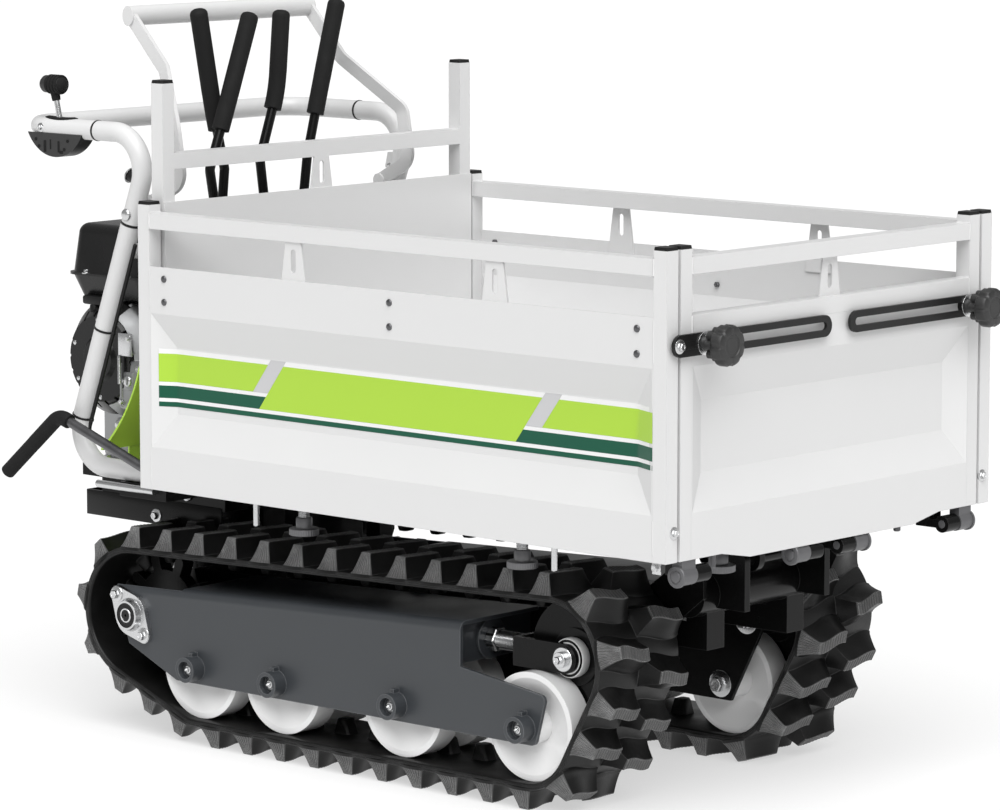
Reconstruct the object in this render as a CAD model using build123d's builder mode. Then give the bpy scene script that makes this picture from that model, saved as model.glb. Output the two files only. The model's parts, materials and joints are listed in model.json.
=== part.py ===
"""Walk-behind tracked site dumper with an extending load box.

Millimetres, +X forward (towards the front gate), +Y to the operator's left, +Z up.
The origin is on the ground, midway along the length and the width of the machine.
"""
import math
import os

from build123d import *

os.makedirs("parts", exist_ok=True)

# Load box: square tube, folded sheet and the headboard at its rear
box_length = 1070.0
box_width = 770.0
box_clearance = 53.0
post_height = 445.0
tube = 25.0
cap_height = 5.0
cap_round = 2.0
sheet = 3.0
sheet_top = 350.0
fold_low = 67.0
fold_high = 277.0
fold_slope = 53.0
fold_depth = 18.0
fold_end = 40.0
fold_margin = 2.0
rail_drop = 12.0
floor_sheet = 4.0
run_gap = 6.0
headboard_height = 631.0
headboard_sheet_top = 447.0
headboard_rail_top = 522.0
tab_base = 55.0
tab_top = 33.0
tab_lap = 20.0
tab_slot = 10.0
tab_slot_length = 36.0
tab_front = 328.0
tab_rear = 334.0

# Side walls slide out on square tubes, held by screws under the box
slide_tube = 20.0
slide_wall = 2.0
slide_fit = 0.5
slide_front = 320.0
slide_rear = 303.0
slide_gap = 55.0
socket_wall = 2.5
screw_inset = 24.0
screw_r = 8.0
screw_collar_r = 12.0
screw_collar = 16.0
screw_disc_r = 19.0
screw_disc = 11.0
screw_drop = 48.0

# Front gate with its hinges, slotted plates and star knobs
hinge_back = 12.0
hinge_drop = 24.0
hinge_pin_r = 6.0
knuckle_r = 14.0
knuckle_length = 30.0
knuckle_inset = 24.0
knuckle_inner_y = 70.0
knuckle_gap = 2.0
knuckle_leaf = 18.0
ear_knuckle_r = 13.0
pin_fit = 0.1
lip_drop = 12.0
lip_half = 195.0
lip_slope = 65.0
nose_front = 36.0
nose_y = 160.0
nose_screw_back = 85.0
plate_rise = 310.0
plate_inner_y = 22.0
plate_edge = 3.0
plate_width = 32.0
plate_thick = 5.0
slot_width = 12.0
slot_inset = 12.0
knob_inset = 41.0
knob_core_r = 18.0
knob_lobes = 8
knob_lobe_r = 6.5
knob_depth = 28.0
knob_cap_r = 11.0
knob_cap = 4.0
knob_stem_r = 11.0
knob_reach = 60.0

# Tip pivot of the bed
pivot_back = 105.0
pivot_drop = 43.0
pivot_r = 10.0
pivot_lug_r = 20.0
pivot_lug_y = 60.0
pivot_lug_thick = 12.0
pivot_ear_y = 95.0

# Rubber tracks, with two staggered rows of lugs outside and guide teeth inside
track_y = 235.0
track_width = 180.0
belt = 11.0
belt_chord = 12.0
cord_depth = 6.0
lug = 32.0
lug_pitch = 72.0
lug_root = 5.0
lug_base = 47.0
lug_base_width = 90.0
lug_skew = 5.0
lug_taper = 20.0
guide_base = 34.0
guide_tip = 18.0
guide_width = 24.0
guide_height = 24.0
guide_root = 2.0

# Wheels inside the tracks
wheel_gap_rear = 180.0
wheel_gap_middle = 255.0
wheel_gap_front = 258.5
wheel_clear = 15.0
rim_width = 42.0
rim_gap = 62.0
rim_lip = 9.0
rim_dish = 20.0
rim_web = 8.0
hub_r = 26.0
axle_r = 10.0
seat = 0.3
idler_back = 273.0
idler_lead = 50.5
idler_z = 231.0
idler_r = 88.0
idler_half = 27.0
idler_groove_half = 15.0
idler_groove_r = 58.0
idler_boss_r = 43.0
idler_boss_half = 30.5
idler_hub_r = 28.0
sprocket_lead = 140.0
sprocket_z = 195.0
sprocket_teeth = 9
sprocket_core_r = 62.0
sprocket_tooth = 18.0
sprocket_tooth_r = 90.0
sprocket_width = 24.0

# Track frames: a channel over the wheels, with cups for the axle ends, a fork and a bearing flange
frame_y = 320.0
frame_plate = 6.0
inner_plate_y = 143.0
channel_round = 14.0
axle_cover = 25.0
frame_toe = 41.0
frame_toe_rise = 52.0
frame_tail = 43.0
frame_tail_rise = 46.0
frame_heel = 11.0
frame_heel_drop = 48.0
notch_back = 180.0
notch_rise = 38.0
notch_sill = 75.0
carrier_back = 17.0
toe_round = 10.0
cup_r = 20.0
cup_bore_r = 14.0
cup_depth = 12.0
cup_length = 25.0
key_width = 8.0
key_rise = 6.0
fork_y = 290.0
fork_thick = 8.0
fork_height = 44.0
fork_back = 93.0
fork_bolt_r = 18.0
fork_bolt = 4.0
tension_rod_r = 13.0
tension_washer_r = 31.0
tension_washer = 5.0
tension_nut_r = 18.0
tension_nut = 16.0
bearing_r = 34.0
bearing_bolt = 30.0
bearing_ear_r = 13.0
bearing_flange = 8.0
bearing_ring_r = 27.0
bearing_seal_r = 20.0
bearing_seal = 3.0
bearing_reach = 18.0

# Chassis between the tracks
gearbox_half = 115.0
gearbox_length = 180.0
gearbox_bottom = 130.0
gearbox_round = 18.0
beam = 40.0
beam_y = 95.0
beam_bottom = 235.0
cross_r = 22.0
front_tube_back = 165.0
front_tube_z = 318.0
front_tube_r = 33.0
horn_half = 36.0
ear_thick = 12.0
rest_back = 60.0
rest_width = 30.0

# Engine platform and engine
platform_gap = 15.0
platform_length = 315.0
platform_half = 200.0
platform_inset = 15.0
platform_arm = 105.0
platform_drop = 65.0
platform_step = 33.0
engine_back = 250.0
engine_rise = 168.0
crank_length = 160.0
crank_right = 150.0
crank_left = 60.0
crank_top = 17.0
crank_round = 12.0
cylinder_length = 90.0
cylinder_right = 110.0
cylinder_left = 20.0
cylinder_low = 110.0
cylinder_high = 36.0
fin_count = 7
fin = 4.0
fin_depth = 10.0
recoil_r = 93.0
recoil_y = 240.0
recoil_shoulder = 34.0
recoil_step_r = 70.0
recoil_cap_r = 38.0
recoil_cap = 6.0
vent_count = 18
vent_r = 76.0
vent_length = 16.0
vent_width = 6.0
tank_back = 241.0
tank_length = 198.0
tank_right = 230.0
tank_left = 60.0
tank_seam_rise = 300.0
tank_seam = 4.0
tank_lip = 4.0
tank_up = 83.0
tank_down = 35.0
tank_taper = 8.0
tank_under_taper = 25.0
tank_corner = 30.0
tank_round = 18.0
tank_foot = 70.0
filler_r = 27.0
filler_height = 16.0
muffler_length = 110.0
muffler_back = 50.0
muffler_width = 140.0
muffler_low = 103.0
muffler_high = 57.0
muffler_round = 20.0
filter_length = 110.0
filter_width = 85.0
filter_height = 130.0
filter_round = 15.0
guard_right = 260.0
guard_left = 155.0
guard_back = 132.0
guard_height = 141.0
guard_flare = 90.0
guard_foot = 40.0

# Handle, clutch bail, levers and throttle
handle_clear = 44.0
handle_r = 16.0
handle_rise = 6.0
handle_foot_back = 250.0
handle_lean = 52.0
handle_height = 545.0
handle_split = 402.0
handle_bend = 60.0
arm_length = 296.0
cross_bar_rise = 355.0
cross_bar_r = 12.0
bail_grip_back = 202.0
bail_grip_above = 82.0
bail_grip_inset = 90.0
bail_grip_tall = 32.0
bail_grip_thick = 24.0
bail_kink_back = 126.0
bail_kink_above = 85.0
bail_knee_back = 42.0
bail_knee_above = 85.0
bail_shin_back = 28.0
bail_shin_above = 35.0
bail_foot_inset = 38.0
bail_foot_above = 80.0
bail_bar = 22.0
bail_bar_thick = 7.0
bail_bend = 25.0
console_front = 50.0
console_back = 10.0
console_right = 170.0
console_left = 130.0
console_thick = 6.0
lever_r = 8.0
lever_bend = 30.0
grip_r = 14.5
throttle_back = 263.0
throttle_length = 126.0
throttle_depth = 30.0
throttle_half = 15.0
throttle_stem_r = 4.0
throttle_stem_lean = 17.0
throttle_knob_rise = 69.0
throttle_knob_length = 46.0
throttle_knob_r = 14.0
throttle_knob_round = 6.0

# Tipping lever behind the box
lever_rod_r = 8.0
lever_foot_rise = 23.0
lever_foot = 40.0
lever_peak_back = 231.0
lever_peak_rise = 88.0
lever_end_back = 355.0
lever_end_drop = 15.0
lever_grip_r = 12.0
lever_grip = 95.0
latch_r = 6.0
latch_start = 34.0
latch_length = 130.0
latch_drop = 17.0

# Places worked out from the sizes above
handle_reach = box_length + handle_lean + arm_length + handle_r
front = (handle_reach - knob_reach) / 2
rear = front - box_length
half_box = box_width / 2
inner_half = half_box - tube - run_gap
wheel_r = (wheel_gap_rear - wheel_clear) / 2
wheel_z = lug + belt + wheel_r
idler_x = front - idler_back
wheel_4 = idler_x - idler_lead
wheel_3 = wheel_4 - wheel_gap_front
wheel_2 = wheel_3 - wheel_gap_middle
wheel_1 = wheel_2 - wheel_gap_rear
wheels = (wheel_1, wheel_2, wheel_3, wheel_4)
sprocket_x = wheel_1 - sprocket_lead
sprocket_r = sprocket_teeth * lug_pitch / (2 * math.pi) - cord_depth
box_bottom = idler_z + idler_r + belt + lug + box_clearance
post_top = box_bottom + post_height
slides = (front - slide_front, rear + slide_rear)
socket_half = slide_tube / 2 + slide_fit + socket_wall
socket_z = box_bottom + sheet + slide_tube / 2
floor_bottom = socket_z + socket_half
screw_y = inner_half - screw_inset
screw_bottom = box_bottom - screw_drop
hinge_x = front - hinge_back
hinge_z = box_bottom - hinge_drop
knuckles = [side * y for y in (inner_half - knuckle_inset, knuckle_inner_y) for side in (-1, 1)]
knob_y = inner_half - knob_inset
knob_z = box_bottom + plate_rise
pivot_x = front - pivot_back
pivot_z = box_bottom - pivot_drop
handle_y = recoil_y + handle_clear + handle_r
handle_low = box_bottom + handle_rise
arm_z = box_bottom + handle_height
arm_x = rear - handle_lean
bar_x = arm_x - arm_length
platform_top = handle_low - handle_r - seat
platform_front = rear - platform_gap
engine_x = rear - engine_back
engine_z = box_bottom + engine_rise
crank_front = engine_x + crank_length / 2
lever_y = -inner_half + tube / 2


def block(x_span, y_span, z_span, mode=Mode.ADD):
    """A rectangular bar given by its limits along each axis."""
    spans = (x_span, y_span, z_span)
    with Locations(tuple((low + high) / 2 for low, high in spans)):
        Box(*(abs(high - low) for low, high in spans), mode=mode)


def rod(start, end, radius, mode=Mode.ADD):
    """A round bar between two points."""
    axis = Vector(*end) - Vector(*start)
    with BuildSketch(Plane(origin=start, z_dir=axis)) as section:
        Circle(radius)
    extrude(section.sketch, amount=axis.length, mode=mode)


def cross_rod(x, z, y_span, radius, mode=Mode.ADD):
    """A round bar across the machine."""
    rod((x, y_span[0], z), (x, y_span[1], z), radius, mode=mode)


def turned(profile, x, z):
    """A turned piece: an outline of (y, radius) points revolved about an axle at (x, z)."""
    with BuildSketch(Plane(origin=(x, 0, z), x_dir=(0, 1, 0), z_dir=(1, 0, 0))) as section:
        with BuildLine():
            Polyline(*profile, close=True)
        make_face()
    revolve(section.sketch, axis=Axis((x, 0, z), (0, 1, 0)))


def bent_bar(points, bend, radius):
    """A round bar along straight runs joined by bends."""
    with BuildLine() as path:
        FilletPolyline(*points, radius=bend)
    with BuildSketch(Plane(origin=path.line @ 0, z_dir=path.line % 0)) as section:
        Circle(radius)
    sweep(section.sketch, path=path.line)


def side_plane(y):
    """Drawing plane of a side view: x forward, z up, facing the right-hand side."""
    return Plane(origin=(0, y, 0), x_dir=(1, 0, 0), z_dir=(0, -1, 0))


def side_plate(points, y_from, thickness, mode=Mode.ADD):
    """A flat plate drawn in x and z, its thickness running towards +Y."""
    with BuildSketch(side_plane(y_from)) as section:
        with BuildLine():
            Polyline(*points, close=True)
        make_face()
    extrude(section.sketch, amount=-thickness, mode=mode)


def pocket(plane, size, ends, depth, mode):
    """A tapered pocket between a rectangle on a plane and a smaller one behind it."""
    with BuildSketch(plane) as mouth:
        Rectangle(*size)
    with BuildSketch(plane.offset(-depth)) as bottom:
        Rectangle(size[0] - 2 * ends[0], size[1] - 2 * ends[1])
    loft([mouth.sketch.face(), bottom.sketch.face()], mode=mode)


def slotted_tab(plane, rise):
    """A trapezoid tab with an upright slot, its foot on the plane's origin."""
    with BuildSketch(plane) as tab:
        with BuildLine():
            Polyline((-tab_base / 2, 0), (tab_base / 2, 0), (tab_top / 2, rise), (-tab_top / 2, rise),
                     close=True)
        make_face()
        with Locations((0, tab_lap + (rise - tab_lap) / 2)):
            SlotOverall(tab_slot_length, tab_slot, rotation=90, mode=Mode.SUBTRACT)
    extrude(tab.sketch, amount=-sheet)


def post_cap(x, y, z):
    """A plastic cap on the end of a square tube."""
    with BuildSketch(Plane(origin=(x, y, z))) as section:
        RectangleRounded(tube, tube, cap_round)
    extrude(section.sketch, amount=cap_height, taper=math.degrees(math.atan(cap_round / cap_height / 2)))


def save(builder, label):
    """Label a finished piece and write it out."""
    builder.part.label = label
    export_step(builder.part, f"parts/{label}.step")


def mirrored(part, label):
    """The left-hand copy of a right-hand piece."""
    with BuildPart() as copy:
        mirror(part, about=Plane.XZ)
    save(copy, label)


# The track runs round the drive sprocket, the idler and the two end road wheels.
track_circles = [
    (sprocket_x, sprocket_z, sprocket_r),
    (idler_x, idler_z, idler_r),
    (wheel_4, wheel_z, wheel_r),
    (wheel_1, wheel_z, wheel_r),
]


def tangent_normal(first, second):
    """Outward direction of the straight run from one circle to the next, going clockwise."""
    dx = second[0] - first[0]
    dz = second[1] - first[1]
    return math.atan2(dz, dx) + math.acos((first[2] - second[2]) / math.hypot(dx, dz))


def track_runs(grow):
    """Arcs and straight runs of the loop, grown outwards by a distance."""
    count = len(track_circles)
    normals = [tangent_normal(track_circles[i], track_circles[(i + 1) % count]) for i in range(count)]
    runs = []
    for i, (x, z, radius) in enumerate(track_circles):
        out = (math.cos(normals[i]), math.sin(normals[i]))
        after = track_circles[(i + 1) % count]
        turn = (normals[i - 1] - normals[i]) % (2 * math.pi)
        runs.append(("arc", (x, z), radius + grow, normals[i - 1], turn))
        start = (x + (radius + grow) * out[0], z + (radius + grow) * out[1])
        end = (after[0] + (after[2] + grow) * out[0], after[1] + (after[2] + grow) * out[1])
        runs.append(("line", start, end, normals[i], math.dist(start, end)))
    return runs


def run_length(run):
    """Length of one arc or straight run."""
    return run[2] * run[4] if run[0] == "arc" else run[4]


cord_runs = track_runs(cord_depth)
cord_length = sum(run_length(run) for run in cord_runs)
lug_count = round(cord_length / lug_pitch)
lug_step = cord_length / lug_count


def loop_place(along):
    """Point on the belt's cords and outward direction, at a distance along the loop."""
    along = along % cord_length
    for run in cord_runs:
        if along <= run_length(run):
            break
        along = along - run_length(run)
    if run[0] == "arc":
        angle = run[3] - along / run[2]
        out = Vector(math.cos(angle), 0, math.sin(angle))
        return Vector(run[1][0], -track_y, run[1][1]) + out * run[2], out
    out = Vector(math.cos(run[3]), 0, math.sin(run[3]))
    start = Vector(run[1][0], -track_y, run[1][1])
    end = Vector(run[2][0], -track_y, run[2][1])
    return start + (end - start) * (along / run[4]), out


def loop_face(grow, mode=Mode.ADD):
    """Filled outline of the grown loop, whose arcs are short chords that touch the true circle."""
    corners = []
    for run in track_runs(grow):
        if run[0] == "arc":
            chords = math.ceil(math.degrees(run[4]) / belt_chord)
            turn = run[4] / chords
            reach = run[2] / math.cos(turn / 2)
            for i in range(chords):
                angle = run[3] - (i + 0.5) * turn
                corners.append((run[1][0] + reach * math.cos(angle), run[1][1] + reach * math.sin(angle)))
    with BuildLine() as outline:
        Polyline(*corners, close=True)
    make_face(outline.edges(), mode=mode)


def lug_places():
    """Feet of the lugs: two rows round the loop, half a step apart."""
    places = []
    for row, side in enumerate((-1, 1)):
        for i in range(lug_count):
            point, out = loop_place((i + row / 2) * lug_step)
            foot = point + out * (belt - cord_depth - lug_root) + Vector(0, side * track_width / 4, 0)
            places.append(Location(Plane(origin=foot, x_dir=(0, 1, 0), z_dir=out)))
    return places


def guide_places():
    """Feet of the guide teeth: one row inside the loop, a step apart."""
    places = []
    for i in range(lug_count):
        point, out = loop_place(i * lug_step)
        foot = point - out * (cord_depth - guide_root)
        places.append(Location(Plane(origin=foot, x_dir=(0, 1, 0), z_dir=-out)))
    return places


# Rubber tracks: a lug is a skewed band that tapers to a wave-shaped tip
with BuildPart() as one_lug:
    end = lug_base_width / 2
    side = lug_base / 2
    with BuildSketch():
        with BuildLine():
            Polyline((-end, lug_skew - side), (0, -lug_skew - side), (end, -lug_skew - side),
                     (end, side - lug_skew), (0, side + lug_skew), (-end, side + lug_skew), close=True)
        make_face()
    extrude(amount=lug + lug_root, taper=lug_taper)

with BuildPart() as one_guide:
    height = guide_height + guide_root
    with BuildSketch(Plane(origin=(-guide_width / 2, 0, 0), x_dir=(0, 1, 0), z_dir=(1, 0, 0))):
        with BuildLine():
            Polyline((-guide_base / 2, 0), (guide_base / 2, 0), (guide_tip / 2, height),
                     (-guide_tip / 2, height), close=True)
        make_face()
    extrude(amount=guide_width)

with BuildPart() as track_right:
    with BuildSketch(side_plane(-track_y - track_width / 2)) as belt_section:
        loop_face(belt)
        loop_face(0, mode=Mode.SUBTRACT)
    extrude(belt_section.sketch, amount=-track_width)
    with Locations(*lug_places()):
        add(one_lug.part)
    with Locations(*guide_places()):
        add(one_guide.part)
save(track_right, "track_right")
mirrored(track_right.part, "track_left")

# Road wheels: two dished rims on a long hub that runs from plate to plate
rim_ends = (rim_gap / 2, rim_gap / 2 + rim_width)
rim_faces = [y - track_y for y in (-rim_ends[1], -rim_ends[0], rim_ends[0], rim_ends[1])]
hub_span = (-frame_y + frame_plate + seat, -inner_plate_y - seat)
with BuildPart() as road_wheels_right:
    tread = wheel_r - seat
    bore = axle_r + seat
    web = rim_dish + rim_web
    profile = [
        (hub_span[0], bore), (hub_span[0], hub_r), (rim_faces[0] + rim_dish, hub_r),
        (rim_faces[0], tread - rim_lip), (rim_faces[0], tread), (rim_faces[1], tread),
        (rim_faces[1], tread - rim_lip), (rim_faces[0] + web, hub_r), (rim_faces[3] - web, hub_r),
        (rim_faces[2], tread - rim_lip), (rim_faces[2], tread), (rim_faces[3], tread),
        (rim_faces[3], tread - rim_lip), (rim_faces[3] - rim_dish, hub_r),
        (hub_span[1], hub_r), (hub_span[1], bore),
    ]
    for x in wheels:
        turned(profile, x, wheel_z)
save(road_wheels_right, "road_wheels_right")
mirrored(road_wheels_right.part, "road_wheels_left")

# Axles of the road wheels, ending inside the cups of the outer plate
cup_end = frame_y + cup_length
with BuildPart() as wheel_axles_right:
    for x in wheels:
        cross_rod(x, wheel_z, (-cup_end + cup_depth - seat, -inner_plate_y + frame_plate), axle_r)
save(wheel_axles_right, "wheel_axles_right")
mirrored(wheel_axles_right.part, "wheel_axles_left")

# Track frame: outer plate, folded top and rod carrier, with an open cup at each axle
frame_low = wheel_z - axle_cover
tail_top = (sprocket_x - frame_tail, sprocket_z + frame_tail_rise)
heel = (sprocket_x - frame_heel, sprocket_z - frame_heel_drop)
notch_x = idler_x - notch_back
carrier_x = notch_x - carrier_back
notch_top = (notch_x, idler_z + notch_rise)


def frame_edge(x):
    """Height of the sloping top edge of the track frame."""
    share = (x - tail_top[0]) / (notch_top[0] - tail_top[0])
    return tail_top[1] + share * (notch_top[1] - tail_top[1])


with BuildPart() as track_frame_right:
    with BuildSketch(side_plane(-frame_y)) as outer_plate:
        with BuildLine():
            Polyline(
                tail_top, heel, (wheel_1 - frame_tail, frame_low), (wheel_4 + cup_r, frame_low),
                (wheel_4 + frame_toe, wheel_z + frame_toe_rise),
                (notch_x, wheel_z + notch_sill), notch_top, close=True,
            )
        make_face()
        fillet(outer_plate.vertices().sort_by(Axis.X)[-2:], toe_round)
    extrude(outer_plate.sketch, amount=-frame_plate)
    cover_back = sprocket_x + sprocket_tooth_r + wheel_clear
    side_plate([
        (cover_back, frame_edge(cover_back)), notch_top, (notch_x, frame_edge(notch_x) - frame_plate),
        (carrier_x, frame_edge(carrier_x) - frame_plate), (carrier_x, wheel_z + notch_sill),
        (carrier_x - frame_plate, wheel_z + notch_sill),
        (carrier_x - frame_plate, frame_edge(carrier_x) - frame_plate),
        (cover_back, frame_edge(cover_back) - frame_plate),
    ], -frame_y, frame_y - inner_plate_y)
    fillet(track_frame_right.edges().group_by(Axis.Y)[0].group_by(Axis.Z)[-1], channel_round)
    for x in wheels:
        cross_rod(x, wheel_z, (-cup_end, -frame_y), cup_r)
        block((x - key_width / 2, x + key_width / 2), (-frame_y - cup_depth, -frame_y),
              (wheel_z, wheel_z + cup_r + key_rise))
        cross_rod(x, wheel_z, (-cup_end, -cup_end + cup_depth), cup_bore_r, mode=Mode.SUBTRACT)
        cross_rod(x, wheel_z, (-cup_end, -frame_y + frame_plate), axle_r, mode=Mode.SUBTRACT)
    cross_rod(sprocket_x, sprocket_z, (-frame_y, -frame_y + frame_plate), axle_r + seat, mode=Mode.SUBTRACT)
    rod((carrier_x - frame_plate, -track_y, idler_z), (carrier_x, -track_y, idler_z), tension_rod_r + seat,
        mode=Mode.SUBTRACT)
save(track_frame_right, "track_frame_right")
mirrored(track_frame_right.part, "track_frame_left")

# Inner track plate, with a horn at the front that carries the front cross tube
front_tube_x = front - front_tube_back
horn_top = front_tube_z + front_tube_r
with BuildPart() as inner_plate_right:
    side_plate([
        tail_top, heel, (wheel_1 - frame_tail, frame_low), (wheel_4 + cup_r, frame_low),
        (idler_x + horn_half, idler_z), (front_tube_x + horn_half, front_tube_z),
        (front_tube_x + horn_half, horn_top), (front_tube_x - horn_half, horn_top),
        (idler_x - horn_half, idler_z + notch_rise), notch_top,
    ], -inner_plate_y, frame_plate)
    inner_span = (-inner_plate_y, -inner_plate_y + frame_plate)
    for x in wheels:
        cross_rod(x, wheel_z, inner_span, axle_r, mode=Mode.SUBTRACT)
    cross_rod(idler_x, idler_z, inner_span, axle_r, mode=Mode.SUBTRACT)
    cross_rod(sprocket_x, sprocket_z, inner_span, axle_r + seat, mode=Mode.SUBTRACT)
save(inner_plate_right, "inner_plate_right")
mirrored(inner_plate_right.part, "inner_plate_left")

# Idlers: two rims with a groove for the guide teeth
fork_inner_y = 2 * track_y - fork_y
with BuildPart() as idler_right:
    rim = idler_r - seat
    hub_end = fork_y - fork_thick - seat - track_y
    half_profile = [
        (idler_groove_half, idler_groove_r), (idler_groove_half, rim), (idler_half, rim),
        (idler_half, idler_boss_r), (idler_boss_half, idler_boss_r), (idler_boss_half, idler_hub_r),
        (hub_end, idler_hub_r), (hub_end, axle_r + seat),
    ]
    other_half = [(-y, r) for y, r in reversed(half_profile)]
    turned([(y - track_y, r) for y, r in other_half + half_profile], idler_x, idler_z)
save(idler_right, "idler_right")
mirrored(idler_right.part, "idler_left")

# Forks that hold the idlers, each on a tension rod with its nut and washer
with BuildPart() as idler_fork_right:
    fork_rear = idler_x - fork_back
    fork_z = (idler_z - fork_height / 2, idler_z + fork_height / 2)
    for y in (-fork_y, -fork_inner_y - fork_thick):
        block((fork_rear, idler_x), (y, y + fork_thick), fork_z)
        cross_rod(idler_x, idler_z, (y, y + fork_thick), fork_height / 2)
    block((fork_rear - fork_thick, fork_rear), (-fork_y, -fork_inner_y), fork_z)
    rod((wheel_3 + hub_r, -track_y, idler_z), (fork_rear, -track_y, idler_z), tension_rod_r)
    rod((carrier_x, -track_y, idler_z), (carrier_x + tension_washer, -track_y, idler_z), tension_washer_r)
    with BuildSketch(Plane(origin=(carrier_x + tension_washer, -track_y, idler_z), z_dir=(1, 0, 0))) as nut:
        RegularPolygon(tension_nut_r, 6)
    extrude(nut.sketch, amount=tension_nut)
    cross_rod(idler_x, idler_z, (-fork_y - fork_bolt, -fork_y), fork_bolt_r)
    cross_rod(idler_x, idler_z, (-fork_y - fork_bolt - fork_thick, -inner_plate_y + frame_plate), axle_r)
save(idler_fork_right, "idler_fork_right")
mirrored(idler_fork_right.part, "idler_fork_left")

# Drive sprockets, whose teeth run between the guide teeth, and their shafts
with BuildPart() as sprocket_right:
    first_tooth = math.degrees(cord_runs[0][3] - lug_step / cord_runs[0][2] / 2)
    drive_face = (sprocket_x, -track_y - sprocket_width / 2, sprocket_z)
    drive_plane = Plane(origin=drive_face, x_dir=(1, 0, 0), z_dir=(0, -1, 0))
    with BuildSketch(drive_plane) as wheel:
        Circle(sprocket_core_r)
        with PolarLocations(sprocket_core_r, sprocket_teeth, start_angle=first_tooth):
            SlotOverall(2 * (sprocket_tooth_r - sprocket_core_r), sprocket_tooth)
        Circle(axle_r + seat, mode=Mode.SUBTRACT)
    extrude(wheel.sketch, amount=-sprocket_width)
save(sprocket_right, "sprocket_right")
mirrored(sprocket_right.part, "sprocket_left")

with BuildPart() as drive_shafts:
    for side in (-1, 1):
        cross_rod(sprocket_x, sprocket_z, (side * gearbox_half, side * (frame_y + bearing_reach)), axle_r)
save(drive_shafts, "drive_shafts")

# Flange bearings of the drive shafts
with BuildPart() as bearing_right:
    bearing_plane = Plane(origin=(sprocket_x, -frame_y, sprocket_z), x_dir=(1, 0, 0), z_dir=(0, -1, 0))
    with BuildSketch(bearing_plane) as flange:
        Circle(bearing_r)
        with Locations((-bearing_bolt, bearing_bolt), (bearing_bolt, -bearing_bolt)):
            Circle(bearing_ear_r)
        make_hull()
    extrude(flange.sketch, amount=bearing_flange)
    with BuildSketch(bearing_plane.offset(bearing_flange)) as ring:
        Circle(bearing_ring_r)
    ring_taper = math.degrees(math.atan(bearing_seal / bearing_flange))
    extrude(ring.sketch, amount=bearing_reach - bearing_flange, taper=ring_taper)
    with BuildSketch(bearing_plane.offset(bearing_reach - bearing_seal)) as seal:
        Circle(bearing_seal_r)
    extrude(seal.sketch, amount=bearing_seal, mode=Mode.SUBTRACT)
    cross_rod(sprocket_x, sprocket_z, (-frame_y - bearing_reach, -frame_y), axle_r + seat, mode=Mode.SUBTRACT)
save(bearing_right, "bearing_right")
mirrored(bearing_right.part, "bearing_left")

# Gearbox between the tracks
with BuildPart() as gearbox:
    block((sprocket_x - gearbox_length / 2, sprocket_x + gearbox_length / 2), (-gearbox_half, gearbox_half),
          (gearbox_bottom, beam_bottom))
    fillet(gearbox.edges().filter_by(Axis.Y), gearbox_round)
save(gearbox, "gearbox")

# Chassis: two beams, cross tubes to the track plates, front tube with pivot ears, and bed rests
beam_top = beam_bottom + beam
beam_middle = beam_bottom + beam / 2
cross_span = (-inner_plate_y + frame_plate, inner_plate_y - frame_plate)
with BuildPart() as chassis_frame:
    for x in ((wheel_3 + wheel_2) / 2, wheel_1):
        cross_rod(x, beam_middle, cross_span, cross_r)
    cross_rod(front_tube_x, front_tube_z, cross_span, front_tube_r)
    for side in (-1, 1):
        beam_span = (side * beam_y - beam / 2, side * beam_y + beam / 2)
        block((sprocket_x - gearbox_length / 2, front_tube_x), beam_span, (beam_bottom, beam_top))
        block((front_tube_x - beam / 2, front_tube_x + beam / 2), beam_span, (beam_bottom, front_tube_z))
        rest_x = rear + rest_back
        block((rest_x - rest_width / 2, rest_x + rest_width / 2),
              (side * beam_y - rest_width / 2, side * beam_y + rest_width / 2),
              (beam_top, floor_bottom - seat))
        ear_span = (side * pivot_ear_y - ear_thick / 2, side * pivot_ear_y + ear_thick / 2)
        ear_low = front_tube_z - pivot_lug_r
        ear_front = pivot_x + pivot_lug_r
        side_plate([(front_tube_x, ear_low), (ear_front, ear_low), (ear_front, pivot_z),
                    (pivot_x - pivot_lug_r, pivot_z), (front_tube_x, horn_top)], ear_span[0], ear_thick)
        cross_rod(pivot_x, pivot_z, ear_span, pivot_lug_r)
    cross_rod(pivot_x, pivot_z, (-pivot_ear_y, pivot_ear_y), pivot_r)
save(chassis_frame, "chassis_frame")

# Engine platform behind the box, with a wide cross member under the handle feet
step_z = box_bottom - platform_step
low_z = box_bottom - platform_drop
with BuildPart() as engine_platform:
    block((platform_front - platform_length, platform_front), (-platform_half, platform_half),
          (step_z, platform_top))
    block((platform_front - platform_length + 2 * platform_inset, platform_front),
          (-platform_half + platform_inset, platform_half - platform_inset), (low_z, step_z))
    block((platform_front - platform_arm, platform_front), (-handle_y - handle_r, handle_y + handle_r),
          (step_z, platform_top))
    block((platform_front - platform_arm, sprocket_x + gearbox_length / 2),
          (-beam_y - beam / 2, beam_y + beam / 2), (beam_top, low_z))
save(engine_platform, "engine_platform")

# Engine: crankcase and finned cylinder
with BuildPart() as engine_block:
    block((crank_front - crank_length, crank_front), (-crank_right, crank_left),
          (platform_top, engine_z + crank_top))
    fillet(engine_block.edges().filter_by(Axis.Y), crank_round)
    cylinder_y = (-cylinder_right, cylinder_left)
    cylinder_z = (engine_z - cylinder_low, engine_z + cylinder_high)
    block((crank_front, crank_front + cylinder_length), (cylinder_y[0] + fin_depth, cylinder_y[1]),
          (cylinder_z[0] + fin_depth, cylinder_z[1] - fin_depth))
    for i in range(fin_count):
        fin_x = crank_front + (i + 1) * cylinder_length / fin_count
        block((fin_x - fin, fin_x), cylinder_y, cylinder_z)
save(engine_block, "engine_block")

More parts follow.
